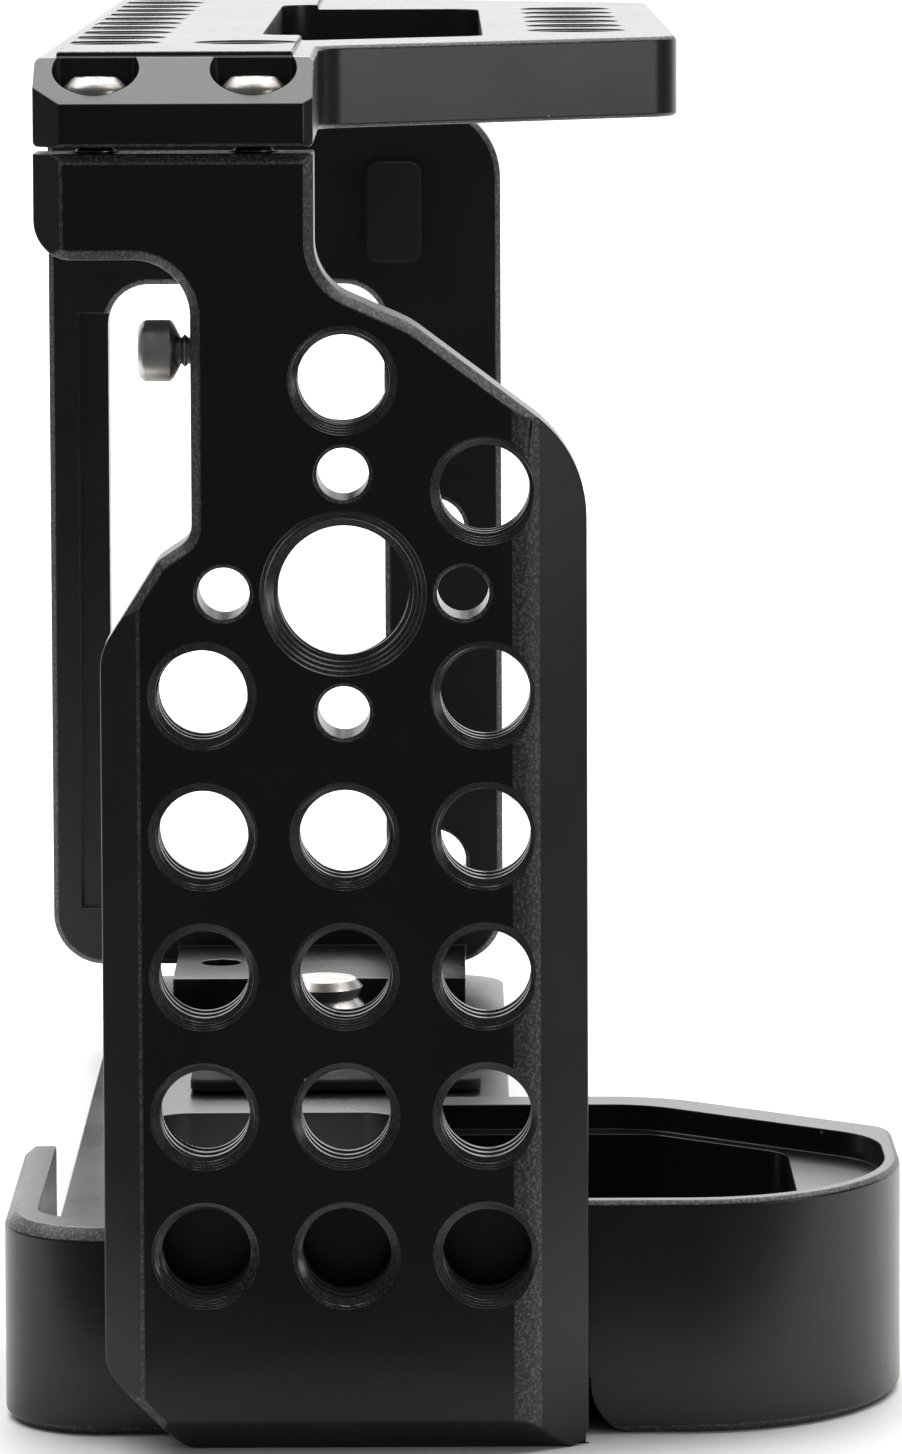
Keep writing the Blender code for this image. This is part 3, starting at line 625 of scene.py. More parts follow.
def blast_group() -> bpy.types.NodeTree:
    """Bead-blast grain, soft blotches and dust specks, shared by the aluminium finishes.

    Returns:
        A node group with inputs Grain, Specks and outputs Height, Blotch, Dust, Wear.
    """
    name = "blasted_surface"
    if name in bpy.data.node_groups:
        return bpy.data.node_groups[name]
    group = bpy.data.node_groups.new(name, "ShaderNodeTree")
    for label, default in (("Grain", 7000.0), ("Specks", 0.03)):
        socket = group.interface.new_socket(label, in_out="INPUT", socket_type="NodeSocketFloat")
        socket.default_value = default
    for label in ("Height", "Blotch", "Dust", "Wear"):
        group.interface.new_socket(label, in_out="OUTPUT", socket_type="NodeSocketFloat")
    sheet = NodeSheet(group)
    inlet, outlet = sheet.add("NodeGroupInput"), sheet.add("NodeGroupOutput")
    place = sheet.add("ShaderNodeTexCoord").outputs["Object"]
    fine = noise(sheet, place, 7000.0, 2.0)
    sheet.wire(inlet.outputs["Grain"], fine.inputs["Scale"])
    pits = sheet.add("ShaderNodeTexVoronoi", feature="SMOOTH_F1")
    pits.inputs["Scale"].default_value = 5200.0
    sheet.wire(place, pits.inputs["Vector"])
    both = sheet.add("ShaderNodeMath", operation="ADD")
    sheet.wire(fine.outputs["Fac"], both.inputs[0])
    sheet.wire(pits.outputs["Distance"], both.inputs[1])
    sheet.wire(both.outputs["Value"], outlet.inputs["Height"])
    blotch = noise(sheet, place, 90.0, 3.0)
    sheet.wire(value_range(sheet, blotch.outputs["Fac"], (0.3, 0.7), (0.0, 1.0)), outlet.inputs["Blotch"])
    dots = sheet.add("ShaderNodeTexVoronoi", feature="F1")
    dots.inputs["Scale"].default_value = 260.0
    sheet.wire(place, dots.inputs["Vector"])
    near = sheet.add("ShaderNodeMath", operation="LESS_THAN")
    sheet.wire(dots.outputs["Distance"], near.inputs[0])
    sheet.wire(inlet.outputs["Specks"], near.inputs[1])
    apart = sheet.add("ShaderNodeSeparateColor")
    sheet.wire(dots.outputs["Color"], apart.inputs["Color"])
    few = sheet.add("ShaderNodeMath", operation="GREATER_THAN")
    few.inputs[1].default_value = 0.8
    sheet.wire(apart.outputs["Red"], few.inputs[0])
    dust = sheet.add("ShaderNodeMath", operation="MULTIPLY")
    sheet.wire(near.outputs["Value"], dust.inputs[0])
    sheet.wire(few.outputs["Value"], dust.inputs[1])
    sheet.wire(dust.outputs["Value"], outlet.inputs["Dust"])
    wear = noise(sheet, place, 5200.0, 1.0)
    sheet.wire(value_range(sheet, wear.outputs["Fac"], (0.46, 0.66), (0.0, 1.0)), outlet.inputs["Wear"])
    return group


# Materials this script has built, by name; the frame's own materials are never among them
MADE: dict[str, bpy.types.Material] = {}


@dataclass(frozen=True)
class Finish:
    """A material with a name of its own, built once."""

    name: str

    def material(self) -> bpy.types.Material:
        """Build the material, or give back the one this script already built.

        Returns:
            The material.
        """
        if self.name in MADE:
            return MADE[self.name]
        material = bpy.data.materials.new(self.name)
        MADE[self.name] = material
        material.use_nodes = True
        self.paint(NodeSheet(material.node_tree), material.node_tree.nodes["Principled BSDF"])
        return material

    def paint(self, sheet: NodeSheet, shader: bpy.types.Node) -> None:
        """Add the finish's nodes and wire them to the shader."""
        raise NotImplementedError


@dataclass(frozen=True)
class AluminiumFinish(Finish):
    """Black anodised, bead-blasted aluminium."""

    colour: tuple[float, float, float] = (0.0045, 0.0045, 0.0048)
    lighter: tuple[float, float, float] = (0.0070, 0.0068, 0.0066)
    dust: tuple[float, float, float] = (0.30, 0.29, 0.27)
    roughness: tuple[float, float] = (0.25, 0.31)
    specular: float = 0.42
    grain: float = 7000.0
    grain_depth: float = 0.006
    grain_strength: float = 0.35
    specks: float = 0.026
    speckle: float = 0.0

    def paint(self, sheet: NodeSheet, shader: bpy.types.Node) -> None:
        """Add the finish's nodes and wire them to the shader."""
        shader.inputs["Specular IOR Level"].default_value = self.specular
        blast = sheet.add("ShaderNodeGroup", node_tree=blast_group())
        blast.inputs["Grain"].default_value = self.grain
        blast.inputs["Specks"].default_value = self.specks
        tone = sheet.add("ShaderNodeMix", data_type="RGBA")
        tone.inputs["A"].default_value = (*self.colour, 1.0)
        tone.inputs["B"].default_value = (*self.lighter, 1.0)
        worn = sheet.add("ShaderNodeMix", data_type="FLOAT")
        worn.inputs["Factor"].default_value = self.speckle
        sheet.wire(blast.outputs["Blotch"], worn.inputs["A"])
        sheet.wire(blast.outputs["Wear"], worn.inputs["B"])
        sheet.wire(worn.outputs["Result"], tone.inputs["Factor"])
        dusty = sheet.add("ShaderNodeMix", data_type="RGBA")
        dusty.inputs["B"].default_value = (*self.dust, 1.0)
        sheet.wire(blast.outputs["Dust"], dusty.inputs["Factor"])
        sheet.wire(tone.outputs["Result"], dusty.inputs["A"])
        sheet.wire(dusty.outputs["Result"], shader.inputs["Base Color"])
        sheet.wire(
            value_range(sheet, blast.outputs["Blotch"], (0.0, 1.0), self.roughness),
            shader.inputs["Roughness"])
        roughen(sheet, shader, blast.outputs["Height"], self.grain_strength, self.grain_depth)


@dataclass(frozen=True)
class CloudyFinish(Finish):
    """Two tones in soft clouds over a fine grain."""

    base: tuple[float, float, float]
    cloud: tuple[float, float, float]
    roughness: tuple[float, float]
    metallic: float
    specular: float
    cloud_scale: float
    cloud_detail: float
    cloud_span: tuple[float, float]
    grain: float
    grain_strength: float
    grain_depth: float

    def paint(self, sheet: NodeSheet, shader: bpy.types.Node) -> None:
        """Add the finish's nodes and wire them to the shader."""
        shader.inputs["Metallic"].default_value = self.metallic
        shader.inputs["Specular IOR Level"].default_value = self.specular
        place = sheet.add("ShaderNodeTexCoord").outputs["Object"]
        clouds = noise(sheet, place, self.cloud_scale, self.cloud_detail).outputs["Fac"]
        tone = sheet.add("ShaderNodeMix", data_type="RGBA")
        tone.inputs["A"].default_value = (*self.base, 1.0)
        tone.inputs["B"].default_value = (*self.cloud, 1.0)
        sheet.wire(value_range(sheet, clouds, self.cloud_span, (0.0, 1.0)), tone.inputs["Factor"])
        sheet.wire(tone.outputs["Result"], shader.inputs["Base Color"])
        sheet.wire(value_range(sheet, clouds, (0.3, 0.7), self.roughness), shader.inputs["Roughness"])
        fine = noise(sheet, place, self.grain, 2.0)
        roughen(sheet, shader, fine.outputs["Fac"], self.grain_strength, self.grain_depth)


@dataclass(frozen=True)
class SteelFinish(CloudyFinish):
    """Bright or blued steel with a fine grain; base is its stain, and its clouds are the cleaner metal."""

    base: tuple[float, float, float] = (0.24, 0.21, 0.18)
    cloud: tuple[float, float, float] = (0.38, 0.37, 0.36)
    roughness: tuple[float, float] = (0.40, 0.24)
    metallic: float = 1.0
    specular: float = 0.5
    cloud_scale: float = 900.0
    cloud_detail: float = 4.0
    cloud_span: tuple[float, float] = (0.3, 0.6)
    grain: float = 9000.0
    grain_strength: float = 0.15
    grain_depth: float = 0.004


@dataclass(frozen=True)
class RubberFinish(CloudyFinish):
    """Matt black rubber with a faint moulded grain; its clouds are where it is worn."""

    base: tuple[float, float, float] = (0.005, 0.005, 0.005)
    cloud: tuple[float, float, float] = (0.009, 0.009, 0.009)
    roughness: tuple[float, float] = (0.7, 0.9)
    metallic: float = 0.0
    specular: float = 0.25
    cloud_scale: float = 400.0
    cloud_detail: float = 3.0
    cloud_span: tuple[float, float] = (0.35, 0.7)
    grain: float = 4500.0
    grain_strength: float = 0.4
    grain_depth: float = 0.01


ALUMINIUM = AluminiumFinish("blasted_aluminium")
# Edge finish: much lighter than the body, partly worn metal and partly a painted highlight along edges, rims
# and bevel rolls.
EDGE_WEAR_AND_PAINTED_HIGHLIGHT = AluminiumFinish(
    "edge_wear_and_painted_highlight", colour=(0.030, 0.030, 0.029), lighter=(0.12, 0.117, 0.113),
    roughness=(0.36, 0.46), grain=6000.0, grain_depth=0.015, grain_strength=0.6, speckle=1.0)
THREAD = AluminiumFinish(
    "anodised_thread", colour=(0.006, 0.006, 0.006), lighter=(0.045, 0.043, 0.041),
    roughness=(0.24, 0.36), specular=0.6, grain_strength=0.3, specks=0.0, speckle=1.0)
STEEL = SteelFinish("turned_steel")
LUG_STEEL = SteelFinish(
    "lug_steel", base=(0.35, 0.33, 0.30), cloud=(0.50, 0.48, 0.46), roughness=(0.44, 0.28))
CLIP_STEEL = SteelFinish(
    "blued_steel", base=(0.12, 0.12, 0.13), cloud=(0.20, 0.20, 0.21), roughness=(0.42, 0.28))
RUBBER = RubberFinish("moulded_rubber")


def dress(piece: bpy.types.Object, *finishes: Finish) -> None:
    """Give a piece its finishes. Clearing the slots resets every face, so their choices are kept.

    Args:
        piece: the piece.
        finishes: the finishes in the order of Face.
    """
    chosen = [min(face.material_index, len(finishes) - 1) for face in piece.data.polygons]
    piece.data.materials.clear()
    for finish in finishes:
        piece.data.materials.append(finish.material())
    for face, index in zip(piece.data.polygons, chosen):
        face.material_index = index


def show(piece: bpy.types.Object, body: str, slot: str, *nodes: str) -> None:
    """Make a piece stand for CAD nodes on a body and report it.

    Args:
        piece: the finished piece.
        body: the body that carries it.
        slot: not used.
        nodes: the CAD nodes that it replaces.
    """
    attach(piece, body)
    if nodes:
        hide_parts(*nodes)
    log.info("%s: %d faces on %s", piece.name, len(piece.data.polygons), body)


def complete(piece: bpy.types.Object, width: float, node: str, *finishes: Finish) -> None:
    """Break a cage piece's edges, shade and dress it, and let it stand for its node.

    Args:
        piece: the solid.
        width: width of its broken edges in millimetres.
        node: the CAD node that it replaces.
        finishes: the finishes in the order of Face.
    """
    break_edges(piece, width)
    smooth(piece)
    dress(piece, *finishes)
    show(piece, "cage", "anodised_aluminium", node)


# Repeated forms, grown with Geometry Nodes


class Repeats:
    """Geometry Nodes trees for what repeats: cut threads and rows of screws."""

    @staticmethod
    def new_tree(name: str, inputs: list[tuple[str, str, object]]) -> bpy.types.NodeTree:
        """Start a tree with a geometry in and out and named inputs.

        Args:
            name: the tree's name.
            inputs: (name, socket type, default) of each input.

        Returns:
            The tree.
        """
        tree = bpy.data.node_groups.new(name, "GeometryNodeTree")
        tree.interface.new_socket("Geometry", in_out="INPUT", socket_type="NodeSocketGeometry")
        for label, kind, default in inputs:
            socket = tree.interface.new_socket(label, in_out="INPUT", socket_type=kind)
            if default is not None:
                socket.default_value = default
        tree.interface.new_socket("Geometry", in_out="OUTPUT", socket_type="NodeSocketGeometry")
        return tree

    @staticmethod
    def copies_tree() -> bpy.types.NodeTree:
        """A copy of a pattern at each point.

        Returns:
            The tree, with inputs for the pattern, its axis, its turn and its material.
        """
        name = "copies_on_points"
        if name in bpy.data.node_groups:
            return bpy.data.node_groups[name]
        tree = Repeats.new_tree(name, [
            ("Pattern", "NodeSocketObject", None),
            ("Axis Turn", "NodeSocketRotation", None),
            ("Turn Step", "NodeSocketFloat", 0.7),
            ("Material", "NodeSocketMaterial", None),
        ])
        sheet = NodeSheet(tree)
        inlet, outlet = sheet.add("NodeGroupInput"), sheet.add("NodeGroupOutput")
        source = sheet.add("GeometryNodeObjectInfo")
        sheet.wire(inlet.outputs["Pattern"], source.inputs["Object"])
        index = sheet.add("GeometryNodeInputIndex")
        turn = sheet.add("ShaderNodeMath", operation="MULTIPLY")
        sheet.wire(index.outputs["Index"], turn.inputs[0])
        sheet.wire(inlet.outputs["Turn Step"], turn.inputs[1])
        about = sheet.add("ShaderNodeCombineXYZ")
        sheet.wire(turn.outputs["Value"], about.inputs["Z"])
        both = sheet.add("FunctionNodeRotateRotation", rotation_space="LOCAL")
        sheet.wire(inlet.outputs["Axis Turn"], both.inputs["Rotation"])
        sheet.wire(about.outputs["Vector"], both.inputs["Rotate By"])
        copies = sheet.add("GeometryNodeInstanceOnPoints")
        sheet.wire(inlet.outputs["Geometry"], copies.inputs["Points"])
        sheet.wire(source.outputs["Geometry"], copies.inputs["Instance"])
        sheet.wire(both.outputs["Rotation"], copies.inputs["Rotation"])
        real = sheet.add("GeometryNodeRealizeInstances")
        sheet.wire(copies.outputs["Instances"], real.inputs["Geometry"])
        coat = sheet.add("GeometryNodeSetMaterial")
        sheet.wire(real.outputs["Geometry"], coat.inputs["Geometry"])
        sheet.wire(inlet.outputs["Material"], coat.inputs["Material"])
        sheet.wire(coat.outputs["Geometry"], outlet.inputs["Geometry"])
        return tree

    @staticmethod
    def run(
        name: str, tree: bpy.types.NodeTree, places: list[Vector], values: dict[str, object]
    ) -> bpy.types.Object:
        """Grow a tree on points and keep the result as a plain mesh.

        Args:
            name: the new object's name.
            tree: the Geometry Nodes tree.
            places: world positions of the points.
            values: the tree's inputs by name.

        Returns:
            The object, with no modifier left on it.
        """
        mesh = bpy.data.meshes.new(name)
        mesh.from_pydata(places, [], [])
        piece = stand(name, mesh)
        modifier = piece.modifiers.new(name, "NODES")
        modifier.node_group = tree
        for item in tree.interface.items_tree:
            if item.in_out == "INPUT" and item.name in values:
                modifier[item.identifier] = values[item.name]
        settle(piece)
        return piece


@dataclass(frozen=True)
class Tap:
    """One size of internal thread, with radii of its crests and roots."""

    crest: float
    root: float
    pitch: float
    sides: int = 36
    sunk: float = 0.2
    stations: tuple[tuple[float, bool], ...] = ((0.0, False), (0.10, False), (0.50, True), (0.64, True))

    def pattern(self, name: str, length: float) -> bpy.types.Object:
        """The tap as a closed helical solid about Z, a turn longer than the hole at each end.

        Args:
            name: the object's name.
            length: length of the hole.

        Returns:
            The solid, centred on the origin.
        """
        turns = ceil(length / self.pitch) + 2
        per_turn = len(self.stations)
        last = turns * per_turn
        start = -(turns + 1) * self.pitch / 2
        shape = bmesh.new()

        def vertex(number: int, side: int) -> bmesh.types.BMVert:
            share, at_root = self.stations[number % per_turn]
            radius = self.root if at_root else self.crest - self.sunk
            angle = 2 * pi * side / self.sides
            height = start + self.pitch * (number // per_turn + share + side / self.sides)
            return shape.verts.new((radius * cos(angle) * MM, radius * sin(angle) * MM, height * MM))

        rows = [[vertex(number, side) for side in range(self.sides)] for number in range(last + 1)]
        rows += [[vertex(number, 0)] for number in range(last + 1, last + per_turn + 1)]
        for number in range(last + 1):
            rows[number].append(rows[number + per_turn][0])
        for low, high in zip(rows[:last], rows[1:last + 1]):
            for side in range(self.sides):
                shape.faces.new((low[side], low[side + 1], high[side + 1], high[side]))
        for number, middle in ((0, start + self.pitch / 2), (last, -start - self.pitch / 2)):
            centre = shape.verts.new((0.0, 0.0, middle * MM))
            rim = rows[number] + [rows[number + step][0] for step in range(per_turn - 1, 0, -1)]
            for index, point in enumerate(rim):
                shape.faces.new((centre, point, rim[(index + 1) % len(rim)]))
        return finish_shape(shape, name)

    def cut(
        self, piece: bpy.types.Object, name: str, plane: Plane, places: list[Place],
        rim: float, near: float, far: float,
    ) -> None:
        """Drill, countersink and tap holes in a piece.

        Args:
            piece: the solid.
            name: what the holes are called.
            plane: its extrusion axis is the holes' axis.
            places: centres as (a, b, level) in the plane.
            rim: radius of the countersink at the faces.
            near: first face, measured from the holes' places.
            far: second face, measured from the holes' places.
        """
        bore = spun(name, plane, places, turned_bore(self.crest, rim, near, far), 64)
        for face in bore.data.polygons:
            face.material_index = Face.THREAD.value
        change(piece, bore)
        pattern = self.pattern(name + "_pattern", far - near)
        taps = Repeats.run(name + "_taps", Repeats.copies_tree(), [
            plane_place(plane, a, b, level) for a, b, level in places], {
            "Pattern": pattern,
            "Axis Turn": (0.0, pi / 2, 0.0) if plane is Plane.SIDE else (0.0, 0.0, 0.0),
            "Turn Step": 0.9,
            "Material": THREAD.material(),
        })
        bpy.data.objects.remove(pattern, do_unlink=True)
        taps.data.materials.clear()
        for face in taps.data.polygons:
            face.material_index = Face.THREAD.value
        change(piece, taps)


QUARTER_INCH = Tap(2.77, 3.175, 1.27)
THREE_EIGHTHS = Tap(4.05, 4.75, 1.59, sides=48)


# The cage's pieces


@dataclass
class GripSidePlate:
    """The cheese plate on the grip side, seen first in the photograph."""

    back: float = -65.3
    rim_chamfer: float = 0.60
    back_rim: float = 0.20
    hole_pitch: float = 8.7
    first_row: float = 12.5
    rows: int = 5
    quarter_rim: float = 6.72
    large_rim: float = 10.24
    large_height: float = 53.6
    pin_radius: float = 7.35
    pin_bore: float = 3.2
    pin_rim: float = 3.7
    single_holes: tuple[Point, ...] = ((0.0, 66.7), (8.7, 59.9))
    front_edge: float = 15.0
    front_crease: float = 11.2
    front_roll: float = 0.85
    front_depth: float = 2.6
    back_edge: float = -15.0
    back_crease: float = -12.6
    back_depth: float = 1.4
    head_edge: float = -18.9
    head_crease: float = -17.1
    head_depth: float = 1.6
    bottom_rise: float = 2.1
    bottom_depth: float = 1.9
    foot_length: float = 15.3
    foot_back: float = -8.8
    foot_front: float = 14.8
    foot_height: float = 3.3
    neck_back: float = -9.3
    neck_foot: float = 55.6
    crisp_roll: float = 0.12
    shoulder: float = 72.8
    edge: float = 0.10

    outline: list[Corner] = field(default_factory=lambda: [
        (-18.9, 80.6, 0.0),
        (-18.9, 74.1, 2.4),
        (-9.3, 74.1, 3.5),
        (-9.3, 57.0, 1.5),
        (-11.4, 55.6, 1.5),
        (-15.0, 49.9, 4.0),
        (-15.0, 5.1, 2.4),
        (-9.9, 0.0, 1.3),
        (15.0, 0.0, 1.3),
        (15.0, 62.1, 8.3),
        (4.2, 70.2, 6.0),
        (-1.7, 72.8, 3.6),
        (-1.7, 80.6, 0.0),
    ])

    def quarter_holes(self) -> list[Point]:
        """Centres of the quarter-inch holes, as forward and height.

        Returns:
            The centres.
        """
        holes = [
            (column * self.hole_pitch, self.first_row + row_number * self.hole_pitch)
            for column in (-1, 0, 1)
            for row_number in range(self.rows)
            if not (column == 0 and row_number == self.rows - 1)
        ]
        return holes + list(self.single_holes)

    def bevel_profile(self, crease: float, edge: float, depth: float, roll: float) -> list[Point]:
        """A bevel's profile whose crease with the face is rolled over.

        Args:
            crease: where face and bevel would meet.
            edge: forward place of the plate's edge.
            depth: the bevel's depth at the edge.
            roll: how far the roll reaches either side of the crease.

        Returns:
            Points (forward, depth), carried a little past the edge.
        """
        way = 1.0 if edge > crease else -1.0
        slope = depth / abs(edge - crease)
        points = []
        for number in range(ROLL_STEPS + 1):
            share = number / ROLL_STEPS
            forward = crease + way * roll * (2 * share - 1)
            points.append((forward, share * share * roll * slope))
        beyond = abs(edge - crease) + OVERRUN
        points.append((crease + way * beyond, beyond * slope))
        return points

    def shave(
        self, plate: bpy.types.Object, name: str, profile: list[Point], low: float, high: float
    ) -> None:
        """Plane an upright edge off the near face.

        Args:
            plate: the plate.
            name: what the cut is called.
            profile: (forward, depth from the near face) along the new surface, from face to edge.
            low: bottom of the cut.
            high: top of the cut.
        """
        outside = NEAR_FACE - OVERRUN
        plan = [(outside, profile[0][0])]
        plan += [(NEAR_FACE + depth, forward) for forward, depth in profile]
        plan.append((outside, profile[-1][0]))
        # The rolled faces take the edge finish, whose lighter colour paints part of the crease highlight.
        rolled = range(1, 1 + ROLL_STEPS)
        change(plate, prism(name, Plane.PLAN, plan, [(low, 0), (high, 0)], edge_sides=rolled))

    def drill(self, plate: bpy.types.Object) -> None:
        """Cut and tap every hole of the plate."""
        middle = (NEAR_FACE + self.back) / 2
        half = (self.back - NEAR_FACE) / 2
        circle, centre = self.pin_radius, self.large_height
        pins = [
            (circle * cos(turn * pi / 2), centre + circle * sin(turn * pi / 2), middle) for turn in range(4)
        ]
        change(plate, spun("pin_holes", Plane.SIDE, pins, bore_profile(
            self.pin_bore / 2, self.pin_rim / 2, -half, half), 48))
        change(plate, spun(
            "lug_tap", Plane.END, [(LUG_X, LUG_HEIGHT, self.neck_back)],
            shaft(LUG_BORE / 2, -OVERRUN, LUG_DEPTH), 24))
        tap_clamps(plate, CLAMP_XS[0], PLATE_TOP)
        sinks = [(self.back + self.foot_length / 2, reach, 0.0) for reach in GRIP_FOOT_REACHES]
        change(plate, spun("foot_sinks", Plane.PLAN, sinks, SINK, 32))
        holes = [(forward, height, middle) for forward, height in self.quarter_holes()]
        QUARTER_INCH.cut(plate, "quarter", Plane.SIDE, holes, self.quarter_rim / 2, -half, half)
        large = [(0.0, self.large_height, middle)]
        THREE_EIGHTHS.cut(plate, "three_eighths", Plane.SIDE, large, self.large_rim / 2, -half, half)

    def build(self) -> None:
        """Build, dress and place the plate."""
        chamfer, back_rim = self.rim_chamfer, self.back_rim
        plate = prism("grip_side_plate_dressed", Plane.SIDE, rounded(self.outline), [
            (NEAR_FACE, chamfer), (NEAR_FACE + chamfer, 0),
            (self.back - back_rim, 0), (self.back, back_rim)], (0, 2))
        foot = oblong((self.foot_back, 0.0), (self.foot_front, self.foot_height))
        change(plate, prism("foot", Plane.SIDE, foot, [
            (self.back - OVERRUN, 0), (self.back + self.foot_length, 0)]), Operation.JOIN)
        bevels = (
            ("front_bevel", self.front_crease, self.front_edge, self.front_depth, self.front_roll,
             -1.0, self.shoulder),
            ("back_bevel", self.back_crease, self.back_edge, self.back_depth, self.crisp_roll,
             -1.0, self.neck_foot),
            ("head_bevel", self.head_crease, self.head_edge, self.head_depth, self.crisp_roll,
             self.neck_foot, PLATE_TOP + OVERRUN),
        )
        for name, crease, edge, depth, roll, low, high in bevels:
            self.shave(plate, name, self.bevel_profile(crease, edge, depth, roll), low, high)
        slope = self.bottom_depth / self.bottom_rise
        low = [
            (NEAR_FACE - OVERRUN, self.bottom_rise), (NEAR_FACE, self.bottom_rise),
            (NEAR_FACE + self.bottom_depth + slope, -1.0), (NEAR_FACE - OVERRUN, -1.0)]
        change(plate, prism("bottom_bevel", Plane.END, low, [(-17.0, 0), (17.0, 0)]))
        self.drill(plate)
        complete(plate, self.edge, "grip_side_plate", ALUMINIUM, EDGE_WEAR_AND_PAINTED_HIGHLIGHT, THREAD)


@dataclass
class TubBase:
    """The base: floor, back corner, grip cup with its lip, notch and openings."""

    near: float = -65.0
    back: float = -21.8
    front: float = 35.4
    front_radius: float = 14.0
    back_radius: float = 6.3
    floor: float = 5.6
    wall_top: float = 13.1
    lip_top: float = 14.8
    lip_start: float = -12.5
    near_wall: float = 3.8
    back_wall: float = 2.1
    lip_wall: float = 1.0
    far_lip_wall: float = 3.1
    back_end: float = -38.0
    cup_far: float = -30.9
    cup_turn: float = 20.5
    cup_front_end: float = -42.0
    cup_inner_far: float = -35.6
    cup_inner_front: float = 28.6
    bay_front_end: float = -42.05
    bay_turn: float = 19.95
    ledge_front_end: float = -45.12
    ledge_turn: float = 19.47
    wall_gap_start: float = 3.5
    pocket_gap_start: float = 5.5
    floor_back: float = -20.2
    floor_front: float = 10.9
    floor_end: float = 67.7
    wall_rim: float = 0.75
    lip_rim: float = 0.30
    bottom_rim: float = 0.55
    notch_back: float = -9.1
    notch_front: float = 15.1
    notch_height: float = 3.6
    notch_flare: float = 3.5
    notch_end: float = -49.7
    window_low: Point = (-24.0, -15.5)
    window_high: Point = (10.0, 3.0)
    bay_round: float = 3.0
    cup_front_round: float = 2.5
    cup_far_round: float = 10.5
    floor_round: float = 4.0
    seat_radius: float = 6.3
    seat_depth: float = 3.1
    shank_radius: float = 3.425
    relief_level: float = 4.2
    relief_radius: float = 4.9
    edge: float = 0.10

    def outline(self) -> list[Point]:
        """The whole base seen from above.

        Returns:
            Its outline.
        """
        return rounded([
            (self.near, self.back, self.back_radius),
            (self.near, self.front, self.front_radius),
            (self.cup_front_end, self.front, self.cup_front_round),
            (self.cup_far, self.cup_turn, self.cup_far_round),
            (self.cup_far, self.floor_front, 0),
            (self.floor_end, self.floor_front, self.floor_round),
            (self.floor_end, self.floor_back, self.floor_round),
            (self.back_end, self.floor_back, 0),
            (self.back_end, self.back, 0),
        ], radians(4))

    def collar(self) -> list[Point]:
        """The part of the base that the raised lip stands on.

        Returns:
            Its outline.
        """
        return rounded([
            (self.near, self.lip_start, 0),
            (self.near, self.front, self.front_radius),
            (self.cup_front_end, self.front, self.cup_front_round),
            (self.cup_far, self.cup_turn, self.cup_far_round),
            (self.cup_far, self.wall_gap_start, 0),
            (self.cup_far - self.far_lip_wall * 2, self.lip_start, 0),
        ], radians(4))

    def bay(self) -> list[Point]:
        """What is cut down to the floor.

        Returns:
            Its outline.
        """
        beyond, inner_near = FAR_FACE + OVERRUN, self.near + self.near_wall
        return rounded([
            (inner_near, self.back + self.back_wall, self.bay_round),
            (inner_near, self.cup_inner_front, self.bay_round),
            (self.bay_front_end, self.cup_inner_front, self.bay_round),
            (self.cup_inner_far, self.bay_turn, self.bay_round),
            (self.cup_inner_far, self.pocket_gap_start, 0),
            (self.cup_far, self.pocket_gap_start, 0),
            (self.cup_far, self.floor_front + OVERRUN, 0),
            (beyond, self.floor_front + OVERRUN, 0),
            (beyond, self.back - OVERRUN, 0),
            (self.back_end, self.back - OVERRUN, 0),
            (self.back_end, self.back + self.back_wall, 0),
        ])

    def ledge(self) -> list[Point]:
        """What is cut down to the top of the thick wall, inside the thin lip.

        Returns:
            Its outline.
        """
        beyond = FAR_FACE + OVERRUN
        return rounded([
            (self.near + self.lip_wall, self.back - OVERRUN, 0),
            (self.near + self.lip_wall, self.front - self.lip_wall, self.front_radius - self.lip_wall),
            (self.ledge_front_end, self.front - self.lip_wall, 6.0),
            (self.cup_far - self.far_lip_wall, self.ledge_turn, 7.4),
            (self.cup_far - self.far_lip_wall, self.wall_gap_start, 0),
            (beyond, self.wall_gap_start, 0),
            (beyond, self.back - OVERRUN, 0),
        ], radians(4))

    def drill(self, base: bpy.types.Object) -> None:
        """Cut the screw holes and the camera screw's seat."""
        feet = [(PORT_FOOT_X, reach, 0.0) for reach in PORT_FOOT_REACHES]
        grip = [(GRIP_FOOT_X, reach, 0.0) for reach in GRIP_FOOT_REACHES]
        change(base, spun("screw_holes", Plane.PLAN, grip + feet, shaft(
            SMALL_BORE / 2, -OVERRUN, self.floor + OVERRUN), 32))
        change(base, spun("foot_sinks", Plane.PLAN, feet, SINK, 32))
        seat = (
            (self.seat_radius, -1.0), (self.seat_radius, self.seat_depth),
            (self.shank_radius, self.seat_depth), (self.shank_radius, self.relief_level),
            (self.relief_radius, self.relief_level), (self.relief_radius, 7.0))
        change(base, spun("camera_screw_seat", Plane.PLAN, [(CAMERA_SCREW_X, CAMERA_SCREW_REACH, 0.0)], [
            (radius, level, False) for radius, level in seat], 64))

